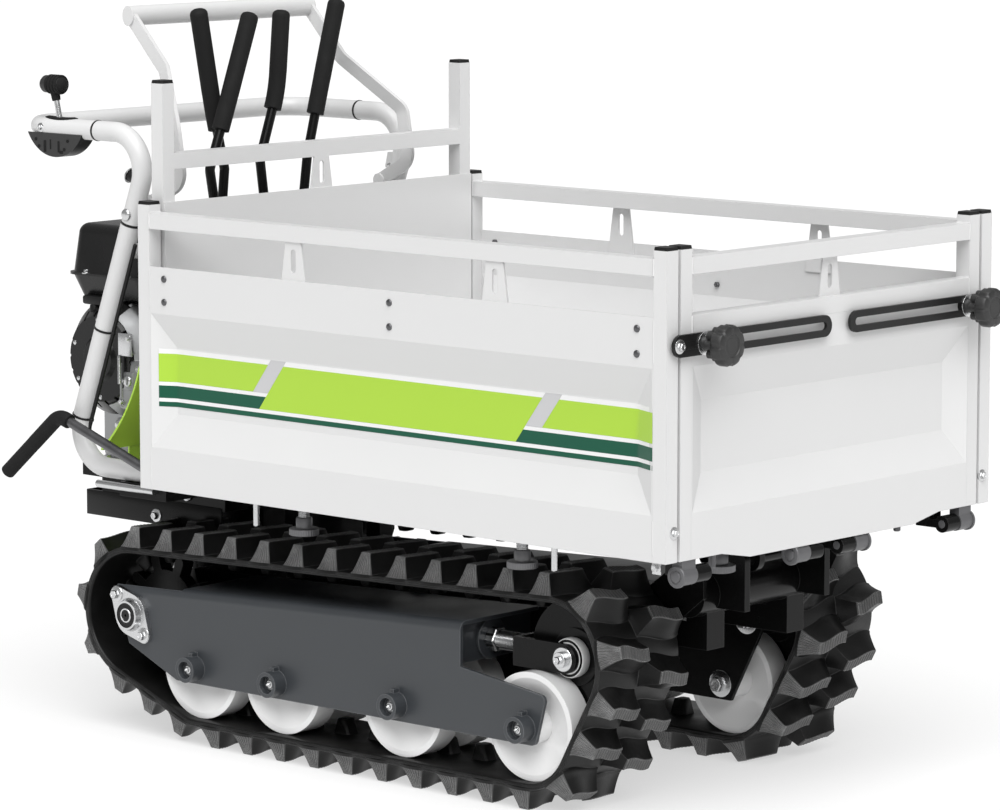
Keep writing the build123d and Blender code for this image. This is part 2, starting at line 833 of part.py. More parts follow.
# Fan housing with the recoil starter, vented round its face
with BuildPart() as recoil_cover:
    shoulder_y = -recoil_y + recoil_shoulder
    turned([(-crank_right, 0), (-crank_right, recoil_r), (shoulder_y, recoil_r),
            (-recoil_y + recoil_cap, recoil_step_r), (-recoil_y + recoil_cap, recoil_cap_r),
            (-recoil_y, recoil_cap_r - recoil_cap), (-recoil_y, 0)], engine_x, engine_z)
    vent_plane = Plane(origin=(engine_x, -recoil_y, engine_z), x_dir=(1, 0, 0), z_dir=(0, -1, 0))
    with BuildSketch(vent_plane) as vents:
        with PolarLocations(vent_r, vent_count):
            SlotOverall(vent_length, vent_width)
    extrude(vents.sketch, amount=-recoil_shoulder, mode=Mode.SUBTRACT)
save(recoil_cover, "recoil_cover")

# Fuel tank: two pressed halves with a seam flange, a filler cap and a foot
with BuildPart() as fuel_tank:
    tank_place = (rear - tank_back, (tank_left - tank_right) / 2, box_bottom + tank_seam_rise)
    tank_width = tank_right + tank_left
    with BuildSketch(Plane(origin=tank_place)) as upper:
        RectangleRounded(tank_length - 2 * tank_lip, tank_width - 2 * tank_lip, tank_corner)
    extrude(upper.sketch, amount=tank_up, taper=tank_taper)
    fillet(fuel_tank.edges().group_by(Axis.Z)[-1], tank_round)
    with BuildSketch(Plane(origin=tank_place, x_dir=(1, 0, 0), z_dir=(0, 0, -1))) as lower:
        RectangleRounded(tank_length - 2 * tank_lip, tank_width - 2 * tank_lip, tank_corner)
    extrude(lower.sketch, amount=tank_down, taper=tank_under_taper)
    with BuildSketch(Plane(origin=tank_place)) as seam:
        RectangleRounded(tank_length, tank_width, tank_corner)
    extrude(seam.sketch, amount=tank_seam)
    tank_top = tank_place[2] + tank_up
    rod((tank_place[0], tank_place[1], tank_top - tank_seam),
        (tank_place[0], tank_place[1], tank_top + filler_height), filler_r)
    block((engine_x - tank_foot / 2, engine_x + tank_foot / 2), (-tank_foot, 0),
          (engine_z + crank_top, tank_place[2] - tank_down + tank_seam))
save(fuel_tank, "fuel_tank")

# Silencer beside the cylinder, air filter behind it
with BuildPart() as muffler:
    block((rear - muffler_back - muffler_length, rear - muffler_back),
          (cylinder_left, cylinder_left + muffler_width), (engine_z - muffler_low, engine_z + muffler_high))
    fillet(muffler.edges().filter_by(Axis.Y), muffler_round)
save(muffler, "muffler")

with BuildPart() as air_filter:
    filter_top = engine_z + crank_top - crank_round
    block((engine_x - filter_length / 2, engine_x + filter_length / 2),
          (crank_left, crank_left + filter_width), (filter_top - filter_height, filter_top))
    fillet(air_filter.edges().filter_by(Axis.Y), filter_round)
save(air_filter, "air_filter")

# Splash guard that flares out below, in front of the engine
with BuildPart() as engine_guard:
    guard_top = (rear - guard_back, engine_z)
    guard_end = (rear - guard_back - guard_flare, engine_z - guard_height)
    with BuildSketch(side_plane(-guard_right)) as guard:
        with BuildLine() as curve:
            TangentArc(guard_top, guard_end, tangent=(-guard_foot, -guard_height))
            Line(guard_end, (guard_end[0], guard_end[1] - sheet))
            Line((guard_end[0], guard_end[1] - sheet), (guard_end[0] + sheet, guard_end[1] - sheet))
            TangentArc((guard_top[0] + sheet, guard_top[1]), (guard_end[0] + sheet, guard_end[1] - sheet),
                       tangent=(-guard_foot, -guard_height))
            Line(guard_top, (guard_top[0] + sheet, guard_top[1]))
        make_face()
    extrude(guard.sketch, amount=-(guard_right - guard_left))
    block((guard_end[0], guard_end[0] + sheet), (-platform_half, -guard_left), (platform_top, guard_end[1]))
save(engine_guard, "engine_guard")


# Handle
def upright_x(z):
    """Centre line of the handle upright at a height."""
    share = (z - handle_low) / (arm_z - handle_low)
    return rear - handle_foot_back + share * (handle_foot_back - handle_lean)


split_z = box_bottom + handle_split
cross_bar_z = box_bottom + cross_bar_rise
with BuildPart() as handle_uprights:
    for side in (-1, 1):
        y = side * handle_y
        bent_bar([(platform_front, y, handle_low), (rear - handle_foot_back, y, handle_low),
                  (upright_x(split_z), y, split_z)], handle_bend, handle_r)
    cross_rod(upright_x(cross_bar_z), cross_bar_z, (-handle_y, handle_y), cross_bar_r)
save(handle_uprights, "handle_uprights")

with BuildPart() as handlebar:
    bent_bar([(upright_x(split_z), -handle_y, split_z), (arm_x, -handle_y, arm_z), (bar_x, -handle_y, arm_z),
              (bar_x, handle_y, arm_z), (arm_x, handle_y, arm_z), (upright_x(split_z), handle_y, split_z)],
             handle_bend, handle_r)
save(handlebar, "handlebar")

# Clutch bail: an oval grip on two flat legs that curve down to pivots on the uprights
foot_z = cross_bar_z + bail_foot_above
shin_z = foot_z + bail_shin_above
knee_z = shin_z + bail_knee_above
kink_z = knee_z + bail_kink_above
foot_y = handle_y - bail_foot_inset
grip_half = handle_y - bail_grip_inset
with BuildPart() as clutch_bail:
    grip_x = rear - bail_grip_back
    grip_z = kink_z + bail_grip_above
    with BuildSketch(Plane(origin=(grip_x, -grip_half, grip_z), x_dir=(1, 0, 0), z_dir=(0, 1, 0))) as grip:
        Ellipse(bail_grip_thick / 2, bail_grip_tall / 2)
    extrude(grip.sketch, amount=2 * grip_half)
    for side in (-1, 1):
        leg = [(grip_x, side * (grip_half - bail_bar_thick), grip_z),
               (rear - bail_kink_back, side * (grip_half - bail_bar_thick), kink_z),
               (rear - bail_knee_back, side * foot_y, knee_z),
               (rear - bail_shin_back, side * foot_y, shin_z),
               (upright_x(foot_z), side * foot_y, foot_z)]
        with BuildLine() as path:
            FilletPolyline(*leg, radius=bail_bend)
        with BuildSketch(Plane(origin=path.line @ 0, x_dir=(0, 1, 0), z_dir=path.line % 0)) as bar:
            Rectangle(bail_bar_thick, bail_bar)
        sweep(bar.sketch, path=path.line)
        foot_span = (side * (foot_y - bail_bar_thick), side * (handle_y - handle_r - seat))
        cross_rod(upright_x(foot_z), foot_z, foot_span, bail_bar / 2)
save(clutch_bail, "clutch_bail")

# Control levers, each a bent rod with a foam grip
console_z = cross_bar_z + cross_bar_r
with BuildPart() as lever_console:
    block((upright_x(cross_bar_z) - console_back, upright_x(cross_bar_z) + console_front),
          (-console_right, console_left), (console_z, console_z + console_thick))
save(lever_console, "lever_console")

# Lever points: distance behind the box, then y, then height above the console
lever_foot_z = console_z + console_thick
lever_runs = [
    [(115, -92, -6), (115, -81, 101), (115, -105, 195), (115, -136, 352)],
    [(80, -128, -6), (80, -149, 106), (80, -113, 196), (80, -57, 344)],
    [(100, 2, -6), (100, -15, 113), (100, 25, 222), (100, 36, 344)],
    [(100, 78, -6), (100, 95, 112), (100, 122, 209), (100, 165, 357)],
]
lever_points = [[Vector(rear - back, y, lever_foot_z + rise) for back, y, rise in run] for run in lever_runs]
grip_starts = [points[2] + (points[3] - points[2]) * (lever_bend / (points[3] - points[2]).length)
               for points in lever_points]
with BuildPart() as shift_levers:
    for points, start in zip(lever_points, grip_starts):
        bent_bar([*points[:3], start], lever_bend / 2, lever_r)
    block((upright_x(cross_bar_z) - console_back, upright_x(cross_bar_z) + console_front),
          (-console_right, console_left), (console_z - console_thick, lever_foot_z), mode=Mode.SUBTRACT)
save(shift_levers, "shift_levers")

with BuildPart() as lever_grips:
    for points, start in zip(lever_points, grip_starts):
        rod(tuple(start), tuple(points[3]), grip_r)
save(lever_grips, "lever_grips")

# Throttle: a half-round housing under the right arm, with a thumb knob above it
with BuildPart() as throttle:
    throttle_x = rear - throttle_back
    housing_top = arm_z - handle_r / 2
    housing_low = arm_z - handle_r - throttle_depth
    housing_ends = [(throttle_x + end * throttle_length / 2, housing_top) for end in (-1, 1)]
    with BuildSketch(side_plane(-handle_y - throttle_half)) as housing:
        with BuildLine():
            ThreePointArc(housing_ends[0], (throttle_x, housing_low), housing_ends[1])
            Line(housing_ends[1], housing_ends[0])
        make_face()
    extrude(housing.sketch, amount=-2 * throttle_half)
    knob_centre = (throttle_x - throttle_stem_lean, -handle_y, arm_z + throttle_knob_rise)
    rod((throttle_x, -handle_y, arm_z), knob_centre, throttle_stem_r)
    rod((throttle_x - throttle_length, -handle_y, arm_z), (throttle_x + throttle_length, -handle_y, arm_z),
        handle_r, mode=Mode.SUBTRACT)
    knob_end = throttle_knob_length / 2
    knob_flat = knob_end - throttle_knob_round
    knob_rim = throttle_knob_r - throttle_knob_round
    with BuildSketch(Plane(origin=knob_centre, x_dir=(1, 0, 0), z_dir=(0, -1, 0))) as bulb:
        with BuildLine():
            Polyline((-knob_end, 0), (-knob_end, knob_rim), (-knob_flat, throttle_knob_r),
                     (knob_flat, throttle_knob_r), (knob_end, knob_rim), (knob_end, 0), close=True)
        make_face()
    revolve(bulb.sketch, axis=Axis(knob_centre, (1, 0, 0)))
save(throttle, "throttle")

# Load bed: floor, slide sockets and front subframe with the ears of the gate hinge
with BuildPart() as bed_floor:
    block((rear + tube + sheet, front - tube - run_gap), (-inner_half, inner_half),
          (floor_bottom, floor_bottom + floor_sheet))
save(bed_floor, "bed_floor")

with BuildPart() as slide_sockets:
    inside = slide_tube / 2 + slide_fit
    for x in slides:
        block((x - socket_half, x + socket_half), (-inner_half, inner_half),
              (socket_z - socket_half, floor_bottom))
        block((x - inside, x + inside), (-inner_half, inner_half), (socket_z - inside, socket_z + inside),
              mode=Mode.SUBTRACT)
save(slide_sockets, "slide_sockets")

nose_z = (floor_bottom - tube, floor_bottom)
with BuildPart() as bed_nose:
    block((front - nose_front - tube, front - nose_front), (-inner_half, inner_half), nose_z)
    for side in (-1, 1):
        block((slides[0] + socket_half, front - nose_front - tube),
              (side * nose_y - tube / 2, side * nose_y + tube / 2), nose_z)
    for y in knuckles:
        ear_y = y - math.copysign(knuckle_length + knuckle_gap, y)
        ear_span = (ear_y - knuckle_length / 2, ear_y + knuckle_length / 2)
        cross_rod(hinge_x, hinge_z, ear_span, ear_knuckle_r)
        ear_low = hinge_z - ear_knuckle_r / 2
        block((front - nose_front - tube, front - nose_front), ear_span, (ear_low, nose_z[0]))
        block((front - nose_front, hinge_x), ear_span, (ear_low, hinge_z + ear_knuckle_r / 2))
        cross_rod(hinge_x, hinge_z, ear_span, hinge_pin_r + pin_fit, mode=Mode.SUBTRACT)
save(bed_nose, "bed_nose")

# Lock screws under the sockets and under the front subframe
with BuildPart() as lock_screws:
    under_slides = [(x, side * screw_y, socket_z - socket_half) for x in slides for side in (-1, 1)]
    under_nose = [(front - nose_screw_back, side * nose_y, nose_z[0]) for side in (-1, 1)]
    for x, y, top in under_slides + under_nose:
        rod((x, y, screw_bottom), (x, y, screw_bottom + screw_disc), screw_disc_r)
        rod((x, y, screw_bottom), (x, y, top), screw_r)
        collar_z = screw_bottom + screw_disc
        rod((x, y, collar_z), (x, y, collar_z + screw_collar), screw_collar_r)
save(lock_screws, "lock_screws")

with BuildPart() as bed_pivot:
    for side in (-1, 1):
        lug_span = (side * pivot_lug_y - pivot_lug_thick / 2, side * pivot_lug_y + pivot_lug_thick / 2)
        block((pivot_x - pivot_lug_r, pivot_x + pivot_lug_r), lug_span, (pivot_z, floor_bottom))
        cross_rod(pivot_x, pivot_z, lug_span, pivot_lug_r)
        cross_rod(pivot_x, pivot_z, lug_span, pivot_r + pin_fit, mode=Mode.SUBTRACT)
save(bed_pivot, "bed_pivot")

# Headboard: tall posts, rail with its tab, and sheet
headboard_rail = (box_bottom + headboard_rail_top - tube, box_bottom + headboard_rail_top)
post_y = inner_half - tube / 2
with BuildPart() as headboard_frame:
    for side in (-1, 1):
        block((rear, rear + tube), (side * post_y - tube / 2, side * post_y + tube / 2),
              (box_bottom, box_bottom + headboard_height))
    block((rear, rear + tube), (-inner_half + tube, inner_half - tube), headboard_rail)
    tab_low = box_bottom + headboard_sheet_top - tab_lap
    slotted_tab(Plane(origin=(rear + tube, 0, tab_low), x_dir=(0, 1, 0), z_dir=(1, 0, 0)),
                headboard_rail[0] - tab_low)
save(headboard_frame, "headboard_frame")

with BuildPart() as headboard_sheet:
    block((rear + tube, rear + tube + sheet), (-inner_half, inner_half),
          (floor_bottom, box_bottom + headboard_sheet_top))
save(headboard_sheet, "headboard_sheet")

with BuildPart() as caps_headboard:
    for side in (-1, 1):
        post_cap(rear + tube / 2, side * post_y, box_bottom + headboard_height)
save(caps_headboard, "caps_headboard")

# Tipping lever on the right-hand tall post
lever_end = Vector(rear - lever_end_back, lever_y, box_bottom - lever_end_drop)
lever_peak = Vector(rear - lever_peak_back, lever_y, box_bottom + lever_peak_rise)
grip_start = lever_end + (lever_peak - lever_end) * (lever_grip / (lever_peak - lever_end).length)
with BuildPart() as tip_lever:
    foot_rise = box_bottom + lever_foot_rise
    bent_bar([(rear, lever_y, foot_rise), (rear - lever_foot, lever_y, foot_rise), lever_peak, grip_start],
             lever_bend, lever_rod_r)
save(tip_lever, "tip_lever")

with BuildPart() as tip_grip:
    rod(tuple(grip_start), tuple(lever_end), lever_grip_r)
save(tip_grip, "tip_grip")

# Latch rod along the platform's arm
with BuildPart() as latch_rod:
    latch_y = -handle_y - handle_r - latch_r
    latch_z = box_bottom - latch_drop
    latch_end = rear - latch_start
    rod((latch_end - latch_length, latch_y, latch_z), (latch_end, latch_y, latch_z), latch_r)
save(latch_rod, "latch_rod")

# Side walls: posts and rail with slotted tabs, pressed sheet, slide tubes and caps
rail_z = (post_top - rail_drop - tube, post_top - rail_drop)
tab_foot = box_bottom + sheet_top - tab_lap
tab_rise = rail_z[0] - tab_foot
with BuildPart() as side_frame_right:
    for x in (rear, front - tube):
        block((x, x + tube), (-half_box, -half_box + tube), (box_bottom, post_top))
    block((rear + tube, front - tube), (-half_box, -half_box + tube), rail_z)
    for x in (front - tab_front, rear + tab_rear):
        tab_place = (x, -half_box + sheet, tab_foot)
        slotted_tab(Plane(origin=tab_place, x_dir=(1, 0, 0), z_dir=(0, -1, 0)), tab_rise)
save(side_frame_right, "side_frame_right")
mirrored(side_frame_right.part, "side_frame_left")

fold_middle = box_bottom + (fold_low + fold_high) / 2
with BuildPart() as side_sheet_right:
    sheet_place = ((front + rear) / 2, -half_box, fold_middle)
    sheet_plane = Plane(origin=sheet_place, x_dir=(1, 0, 0), z_dir=(0, -1, 0))
    mouth = (box_length - 2 * tube - 2 * fold_margin, fold_high - fold_low)
    block((rear + tube, front - tube), (-half_box, -half_box + sheet), (box_bottom, box_bottom + sheet_top))
    block((rear + tube, front - tube), (-half_box, -half_box + tube), (box_bottom, box_bottom + sheet))
    pocket(sheet_plane.offset(-sheet), mouth, (fold_end, fold_slope), fold_depth, Mode.ADD)
    pocket(sheet_plane, mouth, (fold_end, fold_slope), fold_depth, Mode.SUBTRACT)
save(side_sheet_right, "side_sheet_right")
mirrored(side_sheet_right.part, "side_sheet_left")

with BuildPart() as side_slides_right:
    for x in slides:
        for half, mode in ((slide_tube / 2, Mode.ADD), (slide_tube / 2 - slide_wall, Mode.SUBTRACT)):
            block((x - half, x + half), (-half_box + sheet, -slide_gap),
                  (socket_z - half, socket_z + half), mode)
save(side_slides_right, "side_slides_right")
mirrored(side_slides_right.part, "side_slides_left")

with BuildPart() as caps_side_right:
    for x in (rear + tube / 2, front - tube / 2):
        post_cap(x, -half_box + tube / 2, post_top)
save(caps_side_right, "caps_side_right")
mirrored(caps_side_right.part, "caps_side_left")

# Front gate: frame, pressed sheet with a lower lip, plates, knobs, hinges and caps
gate_inside = (-inner_half + tube, inner_half - tube)
with BuildPart() as gate_frame:
    for side in (-1, 1):
        block((front - tube, front), (side * post_y - tube / 2, side * post_y + tube / 2),
              (box_bottom, post_top))
    block((front - tube, front), gate_inside, rail_z)
    block((front - tube, front), gate_inside, (box_bottom + sheet_top - tube, box_bottom + sheet_top))
    gate_middle = front - (tube - sheet) / 2
    slotted_tab(Plane(origin=(gate_middle, 0, tab_foot), x_dir=(0, 1, 0), z_dir=(1, 0, 0)), tab_rise)
save(gate_frame, "gate_frame")

with BuildPart() as gate_sheet:
    gate_plane = Plane(origin=(front, 0, fold_middle), x_dir=(0, 1, 0), z_dir=(1, 0, 0))
    mouth = (gate_inside[1] - gate_inside[0] - 2 * fold_margin, fold_high - fold_low)
    block((front - sheet, front), gate_inside, (box_bottom, box_bottom + sheet_top - tube))
    with BuildSketch(Plane(origin=(front, 0, box_bottom), x_dir=(0, 1, 0), z_dir=(1, 0, 0))) as lip:
        with BuildLine():
            Polyline((-lip_half - lip_slope, 0), (-lip_half, -lip_drop), (lip_half, -lip_drop),
                     (lip_half + lip_slope, 0), close=True)
        make_face()
    extrude(lip.sketch, amount=-sheet)
    pocket(gate_plane.offset(-sheet), mouth, (fold_end, fold_slope), fold_depth, Mode.ADD)
    pocket(gate_plane, mouth, (fold_end, fold_slope), fold_depth, Mode.SUBTRACT)
save(gate_sheet, "gate_sheet")

with BuildPart() as gate_plates:
    plate_outer_y = half_box - plate_edge
    plate_plane = Plane(origin=(front + run_gap, 0, knob_z), x_dir=(0, 1, 0), z_dir=(1, 0, 0))
    for side in (-1, 1):
        with BuildSketch(plate_plane) as plate:
            with Locations((side * (plate_inner_y + plate_outer_y) / 2, 0)):
                SlotOverall(plate_outer_y - plate_inner_y, plate_width)
                SlotOverall(plate_outer_y - plate_inner_y - 2 * slot_inset, slot_width, mode=Mode.SUBTRACT)
        extrude(plate.sketch, amount=plate_thick)
        rod((front, side * knob_y, knob_z), (front + run_gap, side * knob_y, knob_z),
            plate_width / 2 - plate_edge)
save(gate_plates, "gate_plates")

with BuildPart() as gate_knobs:
    knob_back = front + knob_reach - knob_cap - knob_depth
    knob_plane = Plane(origin=(knob_back, 0, knob_z), x_dir=(0, 1, 0), z_dir=(1, 0, 0))
    for side in (-1, 1):
        with BuildSketch(knob_plane) as star:
            with Locations((side * knob_y, 0)):
                Circle(knob_core_r)
                with PolarLocations(knob_core_r, knob_lobes):
                    Circle(knob_lobe_r)
        extrude(star.sketch, amount=knob_depth)
        stem_start = front + run_gap + plate_thick
        cap_end = (front + knob_reach, side * knob_y, knob_z)
        rod((knob_back + knob_depth, side * knob_y, knob_z), cap_end, knob_cap_r)
        rod((stem_start, side * knob_y, knob_z), (knob_back, side * knob_y, knob_z), knob_stem_r)
save(gate_knobs, "gate_knobs")

with BuildPart() as gate_hinges:
    for y in knuckles:
        knuckle_span = (y - knuckle_length / 2, y + knuckle_length / 2)
        cross_rod(hinge_x, hinge_z, knuckle_span, knuckle_r)
        block((front - sheet - knuckle_leaf, front - sheet), knuckle_span, (hinge_z, box_bottom))
        pin_end = y - math.copysign(1.5 * knuckle_length + knuckle_gap, y)
        cross_rod(hinge_x, hinge_z, (y, pin_end), hinge_pin_r)
save(gate_hinges, "gate_hinges")

with BuildPart() as caps_gate:
    for side in (-1, 1):
        post_cap(front - tube / 2, side * post_y, post_top)
save(caps_gate, "caps_gate")
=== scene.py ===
# %% [markdown]
# # A walk-behind tracked dumper, dressed for the studio
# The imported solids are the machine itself: tracks, box, engine and handle, each in its real place.
# This lesson leaves them where they are. It gives each one a finish that behaves like the real paint, rubber
# or zinc, and adds the small things that a workshop fits last: stripes, bolts, rivets, rings and ribs.

# %% Load the machine
import json
import math

import bmesh
import bpy
from mathutils import Matrix, Vector
from mathutils.bvhtree import BVHTree


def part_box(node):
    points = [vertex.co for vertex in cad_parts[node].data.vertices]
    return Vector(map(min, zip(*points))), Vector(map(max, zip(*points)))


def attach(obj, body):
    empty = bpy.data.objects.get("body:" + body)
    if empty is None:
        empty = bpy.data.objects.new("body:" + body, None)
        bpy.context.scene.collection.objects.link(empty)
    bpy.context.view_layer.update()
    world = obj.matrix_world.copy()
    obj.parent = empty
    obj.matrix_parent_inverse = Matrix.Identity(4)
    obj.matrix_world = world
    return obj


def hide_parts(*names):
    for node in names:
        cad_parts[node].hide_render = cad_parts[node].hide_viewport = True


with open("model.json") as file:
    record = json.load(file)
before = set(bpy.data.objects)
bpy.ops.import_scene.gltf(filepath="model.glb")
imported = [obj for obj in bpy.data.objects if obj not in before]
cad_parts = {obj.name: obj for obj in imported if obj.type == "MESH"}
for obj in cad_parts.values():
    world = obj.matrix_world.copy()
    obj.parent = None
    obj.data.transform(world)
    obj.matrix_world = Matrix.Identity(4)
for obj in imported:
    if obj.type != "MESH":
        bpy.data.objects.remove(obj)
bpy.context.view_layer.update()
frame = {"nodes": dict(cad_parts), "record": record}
solids = frame["nodes"]

# %% [markdown]
# ## Where things are
# Every added piece sits on a solid, so most places are read from that solid's box and not typed in twice.
# The box of the load space gives many of them: its outer faces, its lower edge and the tops of its posts.
# The machine is nearly the same on both sides, so many steps run once a side.

# %% Main places on the machine
frame_low, frame_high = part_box("side_frame_right")
box_front = frame_high.x
box_rear = frame_low.x
box_side = -frame_low.y
box_bottom = frame_low.z
tube = frame_high.y - frame_low.y
sides = (("right", -1), ("left", 1))
print("load box:", round(box_front - box_rear, 3), "long,", round(2 * box_side, 3), "wide, tube", round(tube, 4))

# %% [markdown]
# ## Camera
# A long lens from the front right corner keeps the box's edges nearly parallel, as a catalogue photograph does.
# The camera is given by its place and by the direction it looks in, so its right and up directions follow.

# %% Camera at the photograph's angle
camera_data = bpy.data.cameras.new("studio_camera")
camera_data.sensor_fit = "HORIZONTAL"
camera_data.sensor_width = 36.0
camera_data.lens = 169.44
camera = bpy.data.objects.new("studio_camera", camera_data)
bpy.context.scene.collection.objects.link(camera)
look = Vector((-0.6618, 0.7373, -0.1354)).normalized()
rightward = look.cross(Vector((0, 0, 1))).normalized()
upward = rightward.cross(look)
stand = Matrix((rightward, upward, -look)).transposed().to_4x4()
stand.translation = (4.8948, -5.4234, 1.5397)
camera.matrix_world = stand
bpy.context.scene.camera = camera
print("camera distance:", round(camera.location.length, 2))

# %% [markdown]
# ## Studio light
# The machine stands on a pale floor in a white room. One very wide soft light high above the front right corner is
# the studio's ceiling panel. What faces up is lighter than what faces down, so the pressed folds can be seen.
# The floor glows slightly, as a lit sweep does, so shadows stay pale.

# %% Pale floor
floor_reach = 40.0
floor_mesh = bpy.data.meshes.new("studio_floor")
floor_mesh.from_pydata([(-floor_reach, -floor_reach, 0), (floor_reach, -floor_reach, 0),
                        (floor_reach, floor_reach, 0), (-floor_reach, floor_reach, 0)], [], [(0, 1, 2, 3)])
studio_floor = bpy.data.objects.new("studio_floor", floor_mesh)
bpy.context.scene.collection.objects.link(studio_floor)
floor_finish = bpy.data.materials.new("pale_floor")
floor_finish.use_nodes = True
floor_shader = floor_finish.node_tree.nodes["Principled BSDF"]
for label, value in (("Base Color", (0.40, 0.40, 0.40, 1)), ("Emission Color", (1, 1, 1, 1)),
                     ("Emission Strength", 0.56), ("Roughness", 0.9), ("Specular IOR Level", 0.1)):
    floor_shader.inputs[label].default_value = value
floor_mesh.materials.append(floor_finish)
print("floor:", 2 * floor_reach, "m across")

# %% [markdown]
# The room's white walls are the world's plain background. The panel is a sun lamp, which lights all of the machine
# from one direction, and its wide angle of 60 degrees makes it as soft as a ceiling of cloth.

# %% Room and ceiling panel
room = bpy.data.worlds.new("white_room")
bpy.context.scene.world = room
room.use_nodes = True
room_light = room.node_tree.nodes["Background"]
room_light.inputs["Color"].default_value = (1, 1, 1, 1)
room_light.inputs["Strength"].default_value = 0.36
ceiling_light = bpy.data.lights.new("ceiling_panel", "SUN")
ceiling_light.energy = 3.6
ceiling_light.angle = math.radians(60)
ceiling_panel = bpy.data.objects.new("ceiling_panel", ceiling_light)
ceiling_panel.rotation_euler = Vector((-0.42, 0.42, -0.80)).to_track_quat("-Z", "Y").to_euler()
bpy.context.scene.collection.objects.link(ceiling_panel)
bpy.context.scene.view_settings.view_transform = "Standard"

# %% [markdown]
# ## Shared effects
# Paint, rubber and zinc differ in colour, but they age in the same ways. Each way is a small node group that
# is built once: fine grain with slow cloudy patches, rubbed edges, and dust that settles on what faces up.
# On the anthracite plates and the rubber, the pale edge colour is also a painted highlight.
# A group only works out masks and values. The shader that uses them stays in each finish. The first helper starts
# a group with its named inputs and outputs, and the others place the few kinds of node that all groups share.


# %% Helpers for node groups
def start_group(name, inputs, outputs):
    """A node group with number inputs and outputs, and its two end nodes."""
    tree = bpy.data.node_groups.new(name, "ShaderNodeTree")
    for label, value in inputs:
        socket = tree.interface.new_socket(label, in_out="INPUT", socket_type="NodeSocketFloat")
        socket.default_value = value
    for label in outputs:
        tree.interface.new_socket(label, in_out="OUTPUT", socket_type="NodeSocketFloat")
    print("group:", name)
    return tree, tree.nodes.new("NodeGroupInput"), tree.nodes.new("NodeGroupOutput")


def set_input(tree, socket, value):
    """Gives an input a value, or links it where the value is another node's socket."""
    if isinstance(value, bpy.types.NodeSocket):
        tree.links.new(value, socket)
    else:
        socket.default_value = value


def noise(tree, place, scale, detail):
    """A noise texture in the machine's own metres."""
    node = tree.nodes.new("ShaderNodeTexNoise")
    node.inputs["Detail"].default_value = detail
    set_input(tree, node.inputs["Vector"], place)
    set_input(tree, node.inputs["Scale"], scale)
    return node.outputs["Fac"]


def remap(tree, value, *limits):
    """A value moved from one range to another: from low, from high, to low, to high."""
    node = tree.nodes.new("ShaderNodeMapRange")
    set_input(tree, node.inputs["Value"], value)
    for label, limit in zip(("From Min", "From Max", "To Min", "To Max"), limits):
        set_input(tree, node.inputs[label], limit)
    return node.outputs["Result"]


def multiply(tree, first, second, clamp=False):
    """One value times another, kept between 0 and 1 where that is asked."""
    node = tree.nodes.new("ShaderNodeMath")
    node.operation = "MULTIPLY"
    node.use_clamp = clamp
    set_input(tree, node.inputs[0], first)
    set_input(tree, node.inputs[1], second)
    return node.outputs["Value"]


# %% [markdown]
# Sprayed paint and cast metal are never quite even. Two noises at very different scales give the fine grain that
# the bump uses and the slow patches that colour and gloss follow.

# %% Grain and patches
grain_group, grain_in, grain_out = start_group(
    "grain_and_patches", [("Grain scale", 900.0), ("Patch scale", 9.0)], ["Grain", "Patches"])
grain_place = grain_group.nodes.new("ShaderNodeTexCoord").outputs["Object"]
for label, scale, detail in (("Grain", "Grain scale", 2.0), ("Patches", "Patch scale", 4.0)):
    cloud = noise(grain_group, grain_place, grain_in.outputs[scale], detail)
    grain_group.links.new(cloud, grain_out.inputs[label])

# %% [markdown]
# Edges lose their paint first. A rounded copy of the surface direction differs from the plain one only close
# to an edge, so the difference between the two is a mask for edges of any mesh, however few faces it has.
# The same mask also lays a painted highlight along the edges of the anthracite plates and the rubber.

# %% Rubbed edges and painted edge highlights
edge_group, edge_in, edge_out = start_group("rubbed_and_highlit_edges", [("Width", 0.002), ("Break-up scale", 60.0)], ["Mask"])
round_normal = edge_group.nodes.new("ShaderNodeBevel")
round_normal.samples = 4
edge_group.links.new(edge_in.outputs["Width"], round_normal.inputs["Radius"])
surface = edge_group.nodes.new("ShaderNodeNewGeometry")
likeness = edge_group.nodes.new("ShaderNodeVectorMath")
likeness.operation = "DOT_PRODUCT"
edge_group.links.new(round_normal.outputs["Normal"], likeness.inputs[0])
edge_group.links.new(surface.outputs["Normal"], likeness.inputs[1])
near_edge = remap(edge_group, likeness.outputs["Value"], 0.995, 0.9, 0.0, 1.0)
edge_place = edge_group.nodes.new("ShaderNodeTexCoord").outputs["Object"]
break_up = noise(edge_group, edge_place, edge_in.outputs["Break-up scale"], 3.0)
edge_group.links.new(multiply(edge_group, near_edge, break_up), edge_out.inputs["Mask"])

# %% [markdown]
# Dust lies on what faces up and thins out with height above the ground. The upward parts of the surface direction
# and of the place give the two masks, and a noise makes the layer patchy.


# %% Settled dust
def upward_part(tree, arrow):
    """The height of a place or direction."""
    node = tree.nodes.new("ShaderNodeSeparateXYZ")
    tree.links.new(arrow, node.inputs["Vector"])
    return node.outputs["Z"]


dust_group, dust_in, dust_out = start_group("settled_dust", [("Top height", 0.4), ("Patch scale", 14.0)], ["Mask"])
dust_surface = dust_group.nodes.new("ShaderNodeNewGeometry").outputs["Normal"]
dust_place = dust_group.nodes.new("ShaderNodeTexCoord").outputs["Object"]
facing_up = remap(dust_group, upward_part(dust_group, dust_surface), 0.2, 1.0, 0.25, 1.0)
low_down = remap(dust_group, upward_part(dust_group, dust_place), dust_in.outputs["Top height"], 0.0, 0.0, 1.0)
dust_patches = noise(dust_group, dust_place, dust_in.outputs["Patch scale"], 5.0)
dust_mask = multiply(dust_group, multiply(dust_group, facing_up, low_down), dust_patches)
dust_group.links.new(dust_mask, dust_out.inputs["Mask"])
